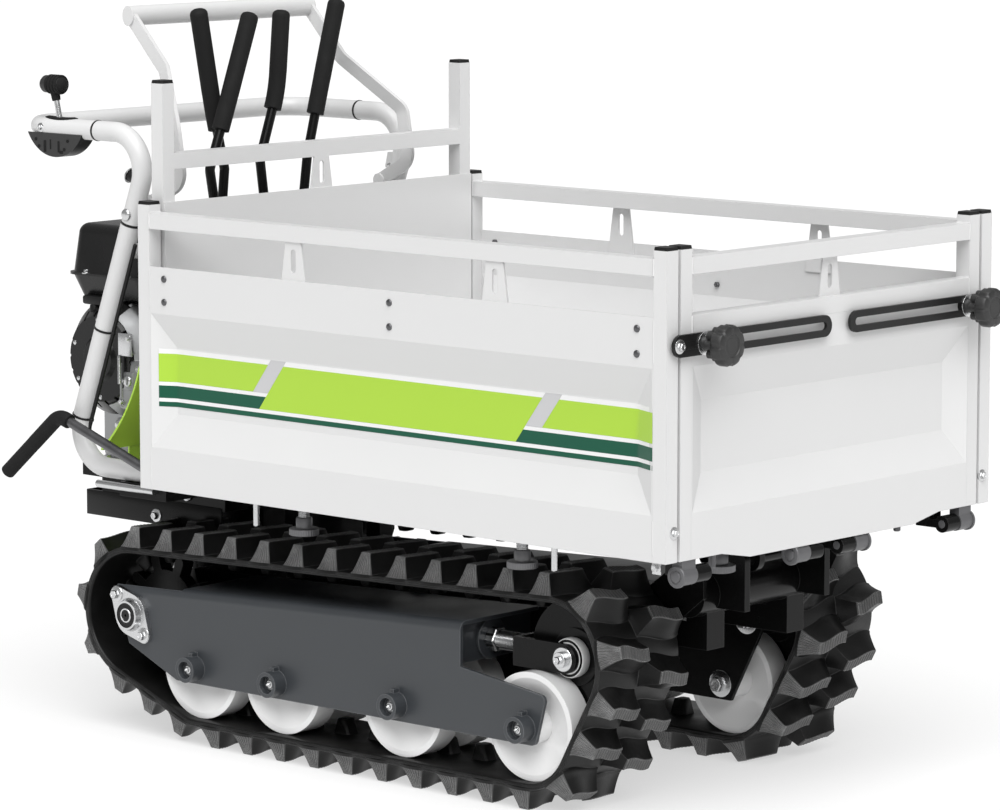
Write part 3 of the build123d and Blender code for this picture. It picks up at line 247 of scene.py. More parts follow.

# %% [markdown]
# ## Finishes
# One function puts the groups together, and each finish of the machine is one call with its own values:
# two close colours that drift into each other, an edge colour for rubbed edges that on some finishes is a painted
# highlight, a roughness that wanders between two limits and a grain height for the bump. A small rounding of the
# shading makes every edge catch the light.

# %% A finish made from the groups
dust_colour = (0.30, 0.28, 0.25)


def place_group(tree, group, **values):
    """Puts a shared effect in a material with this material's values."""
    node = tree.nodes.new("ShaderNodeGroup")
    node.node_tree = group
    for label, value in values.items():
        node.inputs[label.replace("_", " ")].default_value = value
    return node


def mix_colours(tree, mask, first, second):
    """A colour between two, by a mask. Each colour is a value or another node's socket."""
    node = tree.nodes.new("ShaderNodeMix")
    node.data_type = "RGBA"
    tree.links.new(mask, node.inputs[0])
    for socket, colour in ((node.inputs[6], first), (node.inputs[7], second)):
        set_input(tree, socket, (*colour, 1) if isinstance(colour, tuple) else colour)
    return node.outputs[2]


def make_finish(name, colours, edge_wear_and_highlight, roughness, grain, patch_scale=9.0, edge_share=0.5, edge_width=0.0018,
                dust_share=0.0, metallic=0.0, coat=0.0, specular=0.5):
    """A procedural finish: two base colours, an edge colour for wear and painted highlight, roughness limits, grain
    (scale, depth).
    """
    material = bpy.data.materials.new(name)
    material.use_nodes = True
    tree = material.node_tree
    shader = tree.nodes["Principled BSDF"]
    shader.inputs["Metallic"].default_value = metallic
    shader.inputs["Coat Weight"].default_value = coat
    shader.inputs["Specular IOR Level"].default_value = specular
    texture = place_group(tree, grain_group, Grain_scale=grain[0], Patch_scale=patch_scale)
    patches = texture.outputs["Patches"]
    edges = place_group(tree, edge_group, Width=edge_width)
    edge_mask = multiply(tree, edges.outputs["Mask"], edge_share, clamp=True)
    colour = mix_colours(tree, edge_mask, mix_colours(tree, patches, *colours), edge_wear_and_highlight)
    if dust_share:
        dust = place_group(tree, dust_group)
        colour = mix_colours(tree, multiply(tree, dust.outputs["Mask"], dust_share, clamp=True), colour, dust_colour)
    tree.links.new(colour, shader.inputs["Base Color"])
    tree.links.new(remap(tree, patches, 0.3, 0.7, *roughness), shader.inputs["Roughness"])
    rounding = tree.nodes.new("ShaderNodeBevel")
    rounding.samples = 4
    rounding.inputs["Radius"].default_value = edge_width * 0.6
    bump = tree.nodes.new("ShaderNodeBump")
    bump.inputs["Strength"].default_value = 0.5
    bump.inputs["Distance"].default_value = grain[1]
    tree.links.new(texture.outputs["Grain"], bump.inputs["Height"])
    tree.links.new(rounding.outputs["Normal"], bump.inputs["Normal"])
    tree.links.new(bump.outputs["Normal"], shader.inputs["Normal"])
    print("finish:", name)
    return material


def grey(level):
    """A colour without any tint."""
    return (level, level, level)


# %% [markdown]
# The box and handle are powder coated in white, the track plates in anthracite, the frame in gloss black and the
# engine guard in lime, made brighter than the real paint as painted light on the guard's shaded face. Powder coat is a
# little rough, gloss paint is smooth, and both show paler rubbed edges. On the anthracite they are partly a painted
# highlight.

# %% Paints
white_powder_coat = make_finish("white_powder_coat", [grey(0.650), grey(0.668)], grey(0.58), (0.34, 0.46),
                                (1400, 0.0002), edge_share=0.35, coat=0.15)
# The anthracite's pale edge colour is partly a painted highlight along the plates' folds and edges.
anthracite_paint = make_finish("anthracite_paint", [(0.036, 0.040, 0.045), (0.044, 0.048, 0.053)],
                               (0.24, 0.25, 0.26), (0.30, 0.42), (1200, 0.0002), edge_share=0.9, specular=0.45)
gloss_black_paint = make_finish("gloss_black_paint", [grey(0.004), grey(0.006)], grey(0.07), (0.16, 0.28),
                                (1000, 0.0001), edge_share=0.7, specular=0.16)
gloss_white_wheel = make_finish("gloss_white_wheel", [grey(0.78), grey(0.81)], grey(0.60), (0.12, 0.24),
                                (900, 0.0001), edge_share=0.4, coat=0.3)
tank_black = make_finish("tank_black", [grey(0.006), grey(0.009)], grey(0.06), (0.20, 0.32), (900, 0.0001),
                         edge_share=0.6, specular=0.30)
# The lime is brighter than the real paint: painted light on the guard's face, which lies in shade.
lime_paint = make_finish("lime_paint", [(0.54, 0.86, 0.08), (0.58, 0.90, 0.10)], (0.62, 0.80, 0.40),
                         (0.30, 0.42), (1300, 0.0002), edge_share=0.5)

# %% [markdown]
# Bolts and rods are bright zinc, the engine is cast alloy with a coarse sandy grain, and the clamp wheels, hinges and
# tipping lever are darker steel. All are metals, so their colour is mostly what they reflect.

# %% Metals
zinc_plate = make_finish("zinc_plate", [(0.60, 0.61, 0.62), grey(0.66)], grey(0.86), (0.22, 0.30), (1500, 0.0001),
                         patch_scale=30, edge_share=0.6, edge_width=0.001, metallic=1.0)
cast_alloy = make_finish("cast_alloy", [(0.34, 0.345, 0.35), (0.46, 0.465, 0.47)], grey(0.62), (0.42, 0.58),
                         (520, 0.0006), patch_scale=30, edge_share=0.6, metallic=0.9)
dark_steel = make_finish("dark_steel", [(0.10, 0.10, 0.105), (0.16, 0.16, 0.165)], grey(0.32), (0.30, 0.46),
                         (900, 0.0002), patch_scale=40, edge_share=0.6, metallic=0.9)
wheel_steel = make_finish("wheel_steel", [(0.13, 0.13, 0.135), (0.20, 0.20, 0.205)], grey(0.42), (0.32, 0.46),
                          (900, 0.0002), patch_scale=40, edge_share=0.7, edge_width=0.001, metallic=0.8)
hinge_grey = make_finish("hinge_grey", [(0.105, 0.105, 0.11), (0.135, 0.135, 0.14)], grey(0.28), (0.36, 0.48),
                         (900, 0.0002), patch_scale=40, edge_share=0.6, edge_width=0.001, metallic=0.3)

# %% [markdown]
# Rubber, plastic and foam are all nearly black. They are told apart by gloss and grain: moulded rubber has a soft
# shine and a little dust, plastic a fine even grain, and foam is rough and dull.

# %% Rubber, plastic and foam
# The track rubber's paler edge colour is partly a painted highlight on the edges of belt and lugs.
track_rubber = make_finish("track_rubber", [grey(0.003), grey(0.007)], grey(0.080), (0.30, 0.46), (420, 0.0003),
                           patch_scale=24, edge_share=0.8, edge_width=0.002, dust_share=0.01, specular=0.25)
black_plastic = make_finish("black_plastic", [grey(0.007), grey(0.011)], grey(0.06), (0.36, 0.50), (2200, 0.0002),
                            edge_share=0.6, edge_width=0.001, specular=0.28)
knob_plastic = make_finish("knob_plastic", [grey(0.018), grey(0.024)], grey(0.10), (0.38, 0.48), (2000, 0.0002),
                           edge_share=0.6, edge_width=0.0015)
grip_foam = make_finish("grip_foam", [grey(0.006), grey(0.011)], grey(0.03), (0.70, 0.85), (700, 0.0012),
                        patch_scale=40, edge_share=0.3, specular=0.25)

# %% [markdown]
# The record says which finish each solid has. A few solids differ from their slot's usual one: the lever grips
# and the tipping grip are soft foam, the tipping lever is a dark rolled rod, and hinges, clamp screws and knobs
# are greyer than the plain zinc and plastic of their slots.

# %% Finishes on the solids
slot_finish = {
    "white_paint": white_powder_coat, "plate_grey": anthracite_paint, "frame_black": gloss_black_paint,
    "track_rubber": track_rubber, "wheel_white": gloss_white_wheel, "zinc": zinc_plate,
    "black_plastic": black_plastic, "tank_black": tank_black, "lime_paint": lime_paint, "engine_alloy": cast_alloy,
}
own_finish = {"lever_grips": grip_foam, "tip_grip": grip_foam, "tip_lever": dark_steel, "gate_hinges": hinge_grey,
              "lock_screws": wheel_steel, "gate_knobs": knob_plastic, "throttle": knob_plastic}
for subpart in frame["record"]["subparts"]:
    finish = own_finish.get(subpart["node"], slot_finish[subpart["material_slot"]])
    solids[subpart["node"]].material_slots[0].material = finish

# %% [markdown]
# ## From a mesh to a piece
# Small metal parts are turned on a lathe or cut from hexagon bar, so a few helpers cover most of them. A turned
# shape is an outline of radius and height swept round an axis. With six sides in place of many it is a bolt head.
# Many bolts on the same body are one mesh, as one bag of bolts would be, which keeps the scene light.


# %% Helper that makes a piece
def make_piece(name, mesh_tool, finish, body, sharp=35):
    """Turns a bmesh into an object with a finish that rides on a body."""
    bmesh.ops.recalc_face_normals(mesh_tool, faces=mesh_tool.faces)
    mesh = bpy.data.meshes.new(name)
    mesh_tool.to_mesh(mesh)
    mesh_tool.free()
    mesh.polygons.foreach_set("use_smooth", [True] * len(mesh.polygons))
    mesh.set_sharp_from_angle(angle=math.radians(sharp))
    mesh.materials.append(finish)
    piece = bpy.data.objects.new(name, mesh)
    bpy.context.scene.collection.objects.link(piece)
    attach(piece, body)
    print("made", name, "faces", len(mesh.polygons))
    return piece


# %% Helpers for turned parts, bolts and rivets
def turn_shape(mesh_tool, outline, place, axis, sides=24):
    """Sweeps an outline of (radius, height) points round an axis through a place."""
    turned_frame = Vector(axis).to_track_quat("Z", "Y").to_matrix()
    rings = []
    for radius, height in outline:
        angles = [0] if radius == 0 else [2 * math.pi * i / sides for i in range(sides)]
        points = [Vector((radius * math.cos(a), radius * math.sin(a), height)) for a in angles]
        rings.append([mesh_tool.verts.new(Vector(place) + turned_frame @ p) for p in points])
    for lower, upper in zip(rings, rings[1:]):
        for i in range(max(len(lower), len(upper))):
            corners = [lower[i % len(lower)], lower[(i + 1) % len(lower)],
                       upper[(i + 1) % len(upper)], upper[i % len(upper)]]
            mesh_tool.faces.new(list(dict.fromkeys(corners)))


def hex_bolt(mesh_tool, place, axis, across, washer=True):
    """A hexagon bolt head with a chamfered top, on a washer."""
    corner_r = across / math.sqrt(3)
    base = 0.0
    if washer:
        base = 0.12 * across
        turn_shape(mesh_tool, [(0, -0.001), (across, -0.001), (across, base * 0.8), (across * 0.96, base), (0, base)],
                   place, axis)
    head = 0.62 * across
    sunk = base + head * 0.94
    turn_shape(mesh_tool, [(0, base), (corner_r, base), (corner_r, base + head * 0.86), (corner_r * 0.88, base + head),
                           (corner_r * 0.5, base + head), (corner_r * 0.46, sunk), (0, sunk)],
               place, axis, sides=6)


def dome_rivet(mesh_tool, place, axis, radius):
    """A low domed head with a soft rim."""
    turn_shape(mesh_tool, [(0, -0.0005), (radius, -0.0005), (radius, 0.12 * radius), (0.9 * radius, 0.3 * radius),
                           (0.6 * radius, 0.46 * radius), (0.25 * radius, 0.52 * radius), (0, 0.53 * radius)],
               place, axis, sides=20)


# %% [markdown]
# ## Side stripes
# The side walls carry one printed vinyl film: white ground, a lime band cut by two slanted silver bars, dark green
# below it at both ends and a thin green line right through. Vinyl is smooth and even, so its grain is very fine.

# %% Vinyl colours
film_grain = (1800, 0.0001)
vinyl = {
    "white": make_finish("white_vinyl", [grey(0.77), grey(0.80)], grey(0.75), (0.26, 0.34), film_grain,
                         edge_share=0.1),
    "lime": make_finish("lime_vinyl", [(0.375, 0.600, 0.048), (0.395, 0.620, 0.054)], (0.60, 0.80, 0.30),
                        (0.28, 0.34), film_grain, edge_share=0.1, specular=0.3),
    "green": make_finish("green_vinyl", [(0.004, 0.080, 0.044), (0.006, 0.086, 0.049)], (0.10, 0.25, 0.18),
                         (0.28, 0.34), film_grain, edge_share=0.1, specular=0.25),
    "silver": make_finish("silver_vinyl", [(0.50, 0.50, 0.51), (0.54, 0.54, 0.55)], grey(0.60), (0.30, 0.40),
                          film_grain, edge_share=0.1),
}

# %% [markdown]
# A sign maker would note the print as heights above the box's lower edge and distances behind the gate. Each stripe
# has a lower and an upper height, then a rear and a front end at the lower height. None means that it runs to the
# end of the panel. Slanted ends lean forward as they rise.

# %% Layout of the print
panel_front = box_front - tube - 0.0006
panel_rear = box_rear + tube + 0.0135
fold_inset = 0.042
folds = (box_rear + tube + fold_inset, box_front - tube - fold_inset)
slant = 0.75
film_top, lime_top, lime_foot = 0.222, 0.2145, 0.1705
green_top, green_foot, line_top, line_foot = 0.1645, 0.145, 0.1392, 0.1317
bar_rear, bar_front, bar_width = 0.838, 0.249, 0.032
middle_rear = bar_rear - bar_width + slant * (lime_foot - green_foot)
middle_front = bar_front + bar_width + slant * (lime_foot - green_foot)
stripes = {
    "white": [(line_foot, film_top, None, None)],
    "lime": [(lime_foot, lime_top, None, bar_rear), (green_foot, lime_top, middle_rear, middle_front),
             (lime_foot, lime_top, bar_front, None)],
    "green": [(green_foot, green_top, None, middle_rear), (green_foot, green_top, middle_front, None),
              (line_foot, line_top, None, None)],
    "silver": [(lime_foot, film_top, bar_rear, bar_rear - bar_width),
               (lime_foot, film_top, bar_front + bar_width, bar_front)],
}
film_lift = {"white": 0.0002, "lime": 0.0004, "green": 0.0004, "silver": 0.0005}
print("film:", round(panel_front - panel_rear, 3), "m long,", round(film_top - line_foot, 4), "m high")

# %% [markdown]
# Each colour is a thin sheet that follows the pressed panel. Rays shot at the panel find its surface, and the film
# lies a fraction of a millimetre in front of it. One row of points sits exactly on each fold of the panel, so all
# colours bend at the same place.

# %% Vinyl stripes on both side walls
film_columns = 80


def film_row(wall, side, lift, low, z, rear_end, front_end):
    """Points of one long edge of a stripe, on the wall at a height."""
    lean = slant * (z - low)
    start = panel_rear if rear_end is None else box_front - rear_end + lean
    stop = panel_front if front_end is None else box_front - front_end + lean
    places = [start + (stop - start) * i / film_columns for i in range(film_columns + 1)]
    for fold in folds:
        if start < fold < stop:
            places[round((fold - start) / (stop - start) * film_columns)] = fold
    row = []
    for x in places:
        hit = wall.ray_cast(Vector((x, side * (box_side + 0.1), box_bottom + z)), Vector((0, -side, 0)))[0]
        row.append(hit + Vector((0, side * lift, 0)))
    return row


def lay_film(mesh_tool, wall, side, lift, low, high, rear_end, front_end):
    """One stripe: a strip of film laid on the wall between two heights and two slanted ends."""
    grid = [film_row(wall, side, lift, low, z, rear_end, front_end) for z in (low, high)]
    front = [[mesh_tool.verts.new(p) for p in row] for row in grid]
    back = [[mesh_tool.verts.new(p - Vector((0, side * lift * 1.5, 0))) for p in row] for row in grid]
    for i in range(film_columns):
        mesh_tool.faces.new((front[0][i], front[0][i + 1], front[1][i + 1], front[1][i]))
        mesh_tool.faces.new((back[1][i], back[1][i + 1], back[0][i + 1], back[0][i]))
        mesh_tool.faces.new((front[0][i], back[0][i], back[0][i + 1], front[0][i + 1]))
        mesh_tool.faces.new((front[1][i + 1], back[1][i + 1], back[1][i], front[1][i]))
    for i in (0, film_columns):
        mesh_tool.faces.new((front[0][i], front[1][i], back[1][i], back[0][i]))


for wall_name, side in sides:
    wall_mesh = bmesh.new()
    wall_mesh.from_mesh(solids[f"side_sheet_{wall_name}"].data)
    wall = BVHTree.FromBMesh(wall_mesh)
    for tint, bands in stripes.items():
        film_mesh = bmesh.new()
        for band in bands:
            lay_film(film_mesh, wall, side, film_lift[tint], *band)
        make_piece(f"stripe_{tint}_{wall_name}", film_mesh, vinyl[tint], f"side_{wall_name}")
    wall_mesh.free()

# %% [markdown]
# ## Screws in the box walls
# Pairs of screws hold the side sheet to its posts and to the middle rib. They show as small dark domes near the
# top of the wall. The same screw comes through inside, so the inner face has its nut.

# %% Wall screws
screw_backs = (0.055, 0.535, 1.013)
screw_rises = (0.296, 0.332)
wall_depth = 0.003
for wall_name, side in sides:
    screws = bmesh.new()
    for x, z in [(box_front - back, box_bottom + rise) for back in screw_backs for rise in screw_rises]:
        dome_rivet(screws, (x, side * box_side, z), (0, side, 0), 0.0055)
        hex_bolt(screws, (x, side * (box_side - wall_depth), z), (0, -side, 0), 0.008, washer=False)
    make_piece(f"wall_screws_{wall_name}", screws, dark_steel, f"side_{wall_name}")

# %% [markdown]
# ## The line of the track
# The belt runs round the drive sprocket, the idler and the two end road wheels. Their solids give the circles, and
# the tangents between neighbouring circles give the straight runs. One function then turns a distance along the
# cords of the belt into a point and an outward direction, which is all that belt, lugs and teeth need.

# %% Circles under the belt
pitch = 0.072
sprocket_teeth = 9
cord_depth = 0.006
touch = 0.0003
idler_low, idler_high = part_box("idler_right")
wheels_low, wheels_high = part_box("road_wheels_right")
bearing_low, bearing_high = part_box("bearing_right")
idler_x, track_y, idler_z = (idler_low + idler_high) / 2
drive_x, drive_z = (bearing_low.x + bearing_high.x) / 2, (bearing_low.z + bearing_high.z) / 2
wheel_r = (wheels_high.z - wheels_low.z) / 2
wheel_z = wheels_low.z + wheel_r
wheel_1 = wheels_low.x + wheel_r
wheel_4 = wheels_high.x - wheel_r
loop_circles = [
    (drive_x, drive_z, sprocket_teeth * pitch / (2 * math.pi) - cord_depth),
    (idler_x, idler_z, (idler_high.z - idler_low.z) / 2 + touch),
    (wheel_4, wheel_z, wheel_r + touch),
    (wheel_1, wheel_z, wheel_r + touch),
]
print("circles under the belt:", [round(radius, 4) for x, z, radius in loop_circles])


# %% Runs of the belt
def round_run(x, z, radius, first_angle, turn):
    """A run round a circle: its length, and what finds a point and an outward direction on it."""
    def place(along):
        angle = first_angle - along / radius
        out = Vector((math.cos(angle), 0, math.sin(angle)))
        return Vector((x, 0, z)) + out * radius, out
    return radius * turn, place


def straight_run(start, end, out):
    """A straight run, with the same outward direction all along."""
    length = (end - start).length
    return length, lambda along: (start.lerp(end, along / length), out)


normals = []
for (x, z, radius), (next_x, next_z, next_radius) in zip(loop_circles, loop_circles[1:] + loop_circles[:1]):
    gap = math.hypot(next_x - x, next_z - z)
    normals.append(math.atan2(next_z - z, next_x - x) + math.acos((radius - next_radius) / gap))
runs = []
for i, (x, z, radius) in enumerate(loop_circles):
    turn = (normals[i - 1] - normals[i]) % (2 * math.pi)
    runs.append(round_run(x, z, radius + cord_depth, normals[i - 1], turn))
    next_x, next_z, next_radius = loop_circles[(i + 1) % len(loop_circles)]
    out = Vector((math.cos(normals[i]), 0, math.sin(normals[i])))
    runs.append(straight_run(Vector((x, 0, z)) + out * (radius + cord_depth),
                             Vector((next_x, 0, next_z)) + out * (next_radius + cord_depth), out))
cord_length = sum(length for length, place in runs)
lug_count = round(cord_length / pitch)
lug_step = cord_length / lug_count


def loop_place(along):
    """Point on the belt's cords, in the middle of the machine, and outward direction."""
    along = along % cord_length
    for length, place in runs:
        if along <= length:
            break
        along -= length
    return place(along)


print("track loop:", round(cord_length, 3), "m,", lug_count, "lugs in a row")

# %% [markdown]
# ## Rubber tracks
# A rubber track is moulded in one piece. Its lugs flare into the belt, their tips are narrow wave-shaped bands with
# a hatched face, and the outer end of each lug has a fan of fine ribs. The plain solid has the right lugs in the
# right places, so this track keeps its form and adds what the mould adds. The tips are paler, as they rub on the
# ground, so they have a finish of their own. Its pale edge colour is a painted highlight along the ribs and hatch
# lines.

# %% Belt edge, lug levels and worn rubber with painted edge highlights
# Paler tips from wear; the much paler edge colour is a painted highlight along the ribs and the hatched tip.
worn_and_highlit_rubber = make_finish("worn_and_highlit_rubber", [grey(0.030), grey(0.090)], grey(0.42), (0.40, 0.56), (500, 0.0003),
                          patch_scale=60, edge_share=1.6, edge_width=0.0012, specular=0.35)
belt_thick = 0.011
half_belt = 0.090
belt_outer = belt_thick - cord_depth
# The belt's edge from its inner to its outer face: how far in from the side, and height over the cords.
belt_edge = [(0.004, -cord_depth), (0.001, -0.0048), (0, -0.0030), (0.0012, -0.0022), (0, -0.0014), (0, 0.0006),
             (0.0012, 0.0014), (0, 0.0022), (0.0006, 0.0042), (0.003, belt_outer)]
belt_outline = [(half_belt - inset, h) for inset, h in belt_edge]
belt_outline += [(inset - half_belt, h) for inset, h in reversed(belt_edge)]
# Levels of a lug: height over the belt, half its thickness along the loop, half its width across.
lug_height = 0.032
lug_levels = [(-0.0045, 0.0232, 0.0445), (0.0, 0.0222, 0.0432), (0.0028, 0.0200, 0.0414), (0.009, 0.0172, 0.0388),
              (0.017, 0.0140, 0.0360), (0.025, 0.0113, 0.0335), (0.0298, 0.0100, 0.0320), (0.0312, 0.0094, 0.0314),
              (lug_height, 0.0086, 0.0306)]
top_level = len(lug_levels) - 1
print("belt outline:", len(belt_outline), "points, lug:", len(lug_levels), "levels")

# %% [markdown]
# Each lug is a stack of rings. The ribs come from moving every other point of a ring's outer end, so they close up
# towards the tip by themselves. Every other point of the top ring is lowered, which gives the hatched tip.

# %% One ring of a lug
flank_steps = 20
rib_points = 15
plain_end_points = 3
hatch_depth = 0.0007
rib_depth = 0.0010
flank_swell, wave_depth, end_bow = 0.004, 0.0056, 0.003


def lug_ring(level, outer):
    """Points of one ring of a lug as (across, along, height), with ribs on the end that faces outwards."""
    height, thick, width = lug_levels[level]
    rise = max(height, 0) / lug_height
    swell = flank_swell * (1 - rise)

    def side_point(share, side, dip=0.0):
        wave = -wave_depth * math.sin(math.pi * share / 1.5)
        return Vector((share * width, wave + side * (thick + swell * (1 - share * share)), height - dip))

    def end_point(share, across, rib):
        edge = side_point(share, -1).lerp(side_point(share, 1), across)
        bow = end_bow * (1 - (2 * across - 1) ** 2) * (1 - rise) + rib
        return edge + Vector((share * bow, 0, 0))

    dips = [hatch_depth * (i % 2) if level == top_level else 0.0 for i in range(flank_steps + 1)]
    points = [side_point(2 * i / flank_steps - 1, -1, dip) for i, dip in enumerate(dips)]
    for end in (1, -1):
        steps = rib_points if end == outer else plain_end_points
        for i in range(1, steps + 1):
            share = i / (steps + 1)
            rib = rib_depth * (i % 2) if end == outer and 0 < level < top_level else 0.0
            points.append(end_point(end, share if end == 1 else 1 - share, rib))
        if end == 1:
            points += [side_point(1 - 2 * i / flank_steps, 1, dip) for i, dip in enumerate(dips)]
    return points


print("points in a lug ring:", len(lug_ring(0, 1)))


# %% One lug
def ring_faces(mesh_tool, lower, upper, indices):
    """Skin between two rings of places, only at the named points."""
    count = len(lower)
    made = {}
    for i in indices:
        corners = []
        for ring, j in ((lower, i), (lower, (i + 1) % count), (upper, (i + 1) % count), (upper, i)):
            key = (id(ring), j)
            if key not in made:
                made[key] = mesh_tool.verts.new(ring[j])
            corners.append(made[key])
        mesh_tool.faces.new(corners)


def add_lug(rubber, tips, foot, out, outer):
    """One lug on the belt: rubber flanks, ribbed end and hatched tip."""
    across = Vector((0, 1, 0))
    along = out.cross(across)
    rings = [[foot + across * p.x + along * p.y + out * p.z for p in lug_ring(level, outer)]
             for level in range(len(lug_levels))]
    first = flank_steps if outer == 1 else len(rings[0]) - rib_points - 1
    ribbed = range(first, first + rib_points + 1)
    for level, (lower, upper) in enumerate(zip(rings, rings[1:])):
        plain = [i for i in range(len(lower)) if i not in ribbed]
        ring_faces(rubber if level < top_level - 2 else tips, lower, upper, plain)
        ring_faces(tips if level > 0 else rubber, lower, upper, ribbed)
    top = rings[-1]
    turn_back = flank_steps + (rib_points if outer == 1 else plain_end_points) + 1
    hatch = [(tips.verts.new(top[i]), tips.verts.new(top[turn_back + flank_steps - i]))
             for i in range(flank_steps + 1)]
    for (a, b), (c, d) in zip(hatch, hatch[1:]):
        tips.faces.new((a, c, d, b))
    for start, stop in ((flank_steps, turn_back), (turn_back + flank_steps, len(top))):
        tips.faces.new([tips.verts.new(top[i % len(top)]) for i in range(start, stop + 1)])


# %% [markdown]
# Guide teeth stand on the inside of the belt and run between the rims of the wheels. Each is a tapered block with
# cut corners. Its levels are a depth under the belt, half a length along the loop and half a width across.

# %% One guide tooth
tooth_levels = [(-0.002, 0.0172, 0.0128), (0.001, 0.0166, 0.0120), (0.021, 0.0098, 0.0118),
                (0.0235, 0.0086, 0.0106), (0.024, 0.0070, 0.0090)]
tooth_corner = 0.003


def add_tooth(rubber, foot, out):
    """One guide tooth on the inside of the belt, tapered and with soft corners."""
    across = Vector((0, 1, 0))
    along = out.cross(across)
    rings = []
    for depth, half_along, half_across in tooth_levels:
        short_along, short_across = half_along - tooth_corner, half_across - tooth_corner
        shape = [(half_across, short_along), (short_across, half_along), (-short_across, half_along),
                 (-half_across, short_along), (-half_across, -short_along), (-short_across, -half_along),
                 (short_across, -half_along), (half_across, -short_along)]
        rings.append([rubber.verts.new(foot + across * a + along * b - out * depth) for a, b in shape])
    for lower, upper in zip(rings, rings[1:]):
        for i in range(len(lower)):
            j = (i + 1) % len(lower)
            rubber.faces.new((lower[i], lower[j], upper[j], upper[i]))
    rubber.faces.new(rings[-1])


print("guide tooth:", tooth_levels[-1][0], "m deep")

# %% [markdown]
# Both tracks are built on the right, and the left one is then mirrored to its own side. Belt, lugs and teeth are one
# mesh that stands in for the plain track, and the paler tips are another.

# %% Both moulded tracks
stations = lug_count * 12
middle = Vector((0, -abs(track_y), 0))
for wall_name, side in sides:
    rubber = bmesh.new()
    tips = bmesh.new()
    hoops = []
    for i in range(stations):
        point, out = loop_place(i * cord_length / stations)
        hoops.append([rubber.verts.new(point + middle + Vector((0, a, 0)) + out * h) for a, h in belt_outline])
    for lower, upper in zip(hoops, hoops[1:] + hoops[:1]):
        for j in range(len(belt_outline)):
            k = (j + 1) % len(belt_outline)
            rubber.faces.new((lower[j], lower[k], upper[k], upper[j]))
    for i in range(lug_count):
        for row, outer in enumerate((-1, 1)):
            point, out = loop_place((i + row / 2) * lug_step)
            foot = point + middle + Vector((0, outer * half_belt / 2, 0)) + out * belt_outer
            add_lug(rubber, tips, foot, out, outer)
        point, out = loop_place(i * lug_step)
        add_tooth(rubber, point + middle - out * cord_depth, out)
    for mesh_tool in (rubber, tips):
        bmesh.ops.remove_doubles(mesh_tool, verts=mesh_tool.verts, dist=0.00001)
        if side == 1:
            bmesh.ops.scale(mesh_tool, vec=(1, -1, 1), verts=mesh_tool.verts)
    tread = make_piece(f"moulded_track_{wall_name}", rubber, track_rubber, "chassis", sharp=40)
    make_piece(f"lug_tips_{wall_name}", tips, worn_and_highlit_rubber, "chassis", sharp=25)
    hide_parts(f"track_{wall_name}")

# %% [markdown]
# ## Track tensioner and wheel ends
# A threaded rod with a big nut and washer pushes each idler fork forward. Thread, nut and bolts are bright zinc, so
# they are laid over the black fork as turned sleeves. Each road wheel's axle ends in a cup with a grease nipple, and
# the idler turns on a white ring behind the fork. Each outline lists radius and height.

# %% Outlines of rod, nut, nipple and rings
def threaded(start, length, radius, depth, step):
    """Outline of a threaded rod: a row of small ridges."""
    outline = [(0, start), (radius - depth, start)]
    for i in range(int(length / step)):
        outline += [(radius, start + (i + 0.35) * step), (radius, start + (i + 0.55) * step),
                    (radius - depth, start + (i + 0.95) * step)]
    return outline + [(radius - depth, start + length), (0, start + length)]


tension_thread = threaded(0.0222, 0.0735, 0.0146, 0.0014, 0.0030)
tension_nut = [(0.0140, 0.0045), (0.0180, 0.0048), (0.0194, 0.0062), (0.0194, 0.0210), (0.0180, 0.0225),
               (0.0134, 0.0228)]
tension_washer = [(0.0140, 0.0002), (0.0308, 0.0002), (0.0316, 0.0012), (0.0316, 0.0048), (0.0306, 0.0056),
                  (0.0140, 0.0056)]
fork_boss = [(0, 0), (0.0184, 0), (0.0184, 0.0040), (0.0176, 0.0048), (0.0118, 0.0050), (0.0118, 0.0122),
             (0.0112, 0.0128), (0, 0.0128)]
grease_nipple = [(0, 0), (0.0098, 0), (0.0098, 0.0014), (0.0066, 0.0020), (0.0062, 0.0046), (0.0038, 0.0050),
                 (0.0036, 0.0064), (0.0022, 0.0070), (0.0029, 0.0084), (0.0016, 0.0100), (0, 0.0102)]
idler_ring = [(0.0280, 0.0304), (0.0296, 0.0308), (0.0302, 0.0330), (0.0302, 0.0440), (0.0290, 0.0465),
              (0.0215, 0.0468), (0.0215, 0.0304)]
print("thread outline:", len(tension_thread), "points")

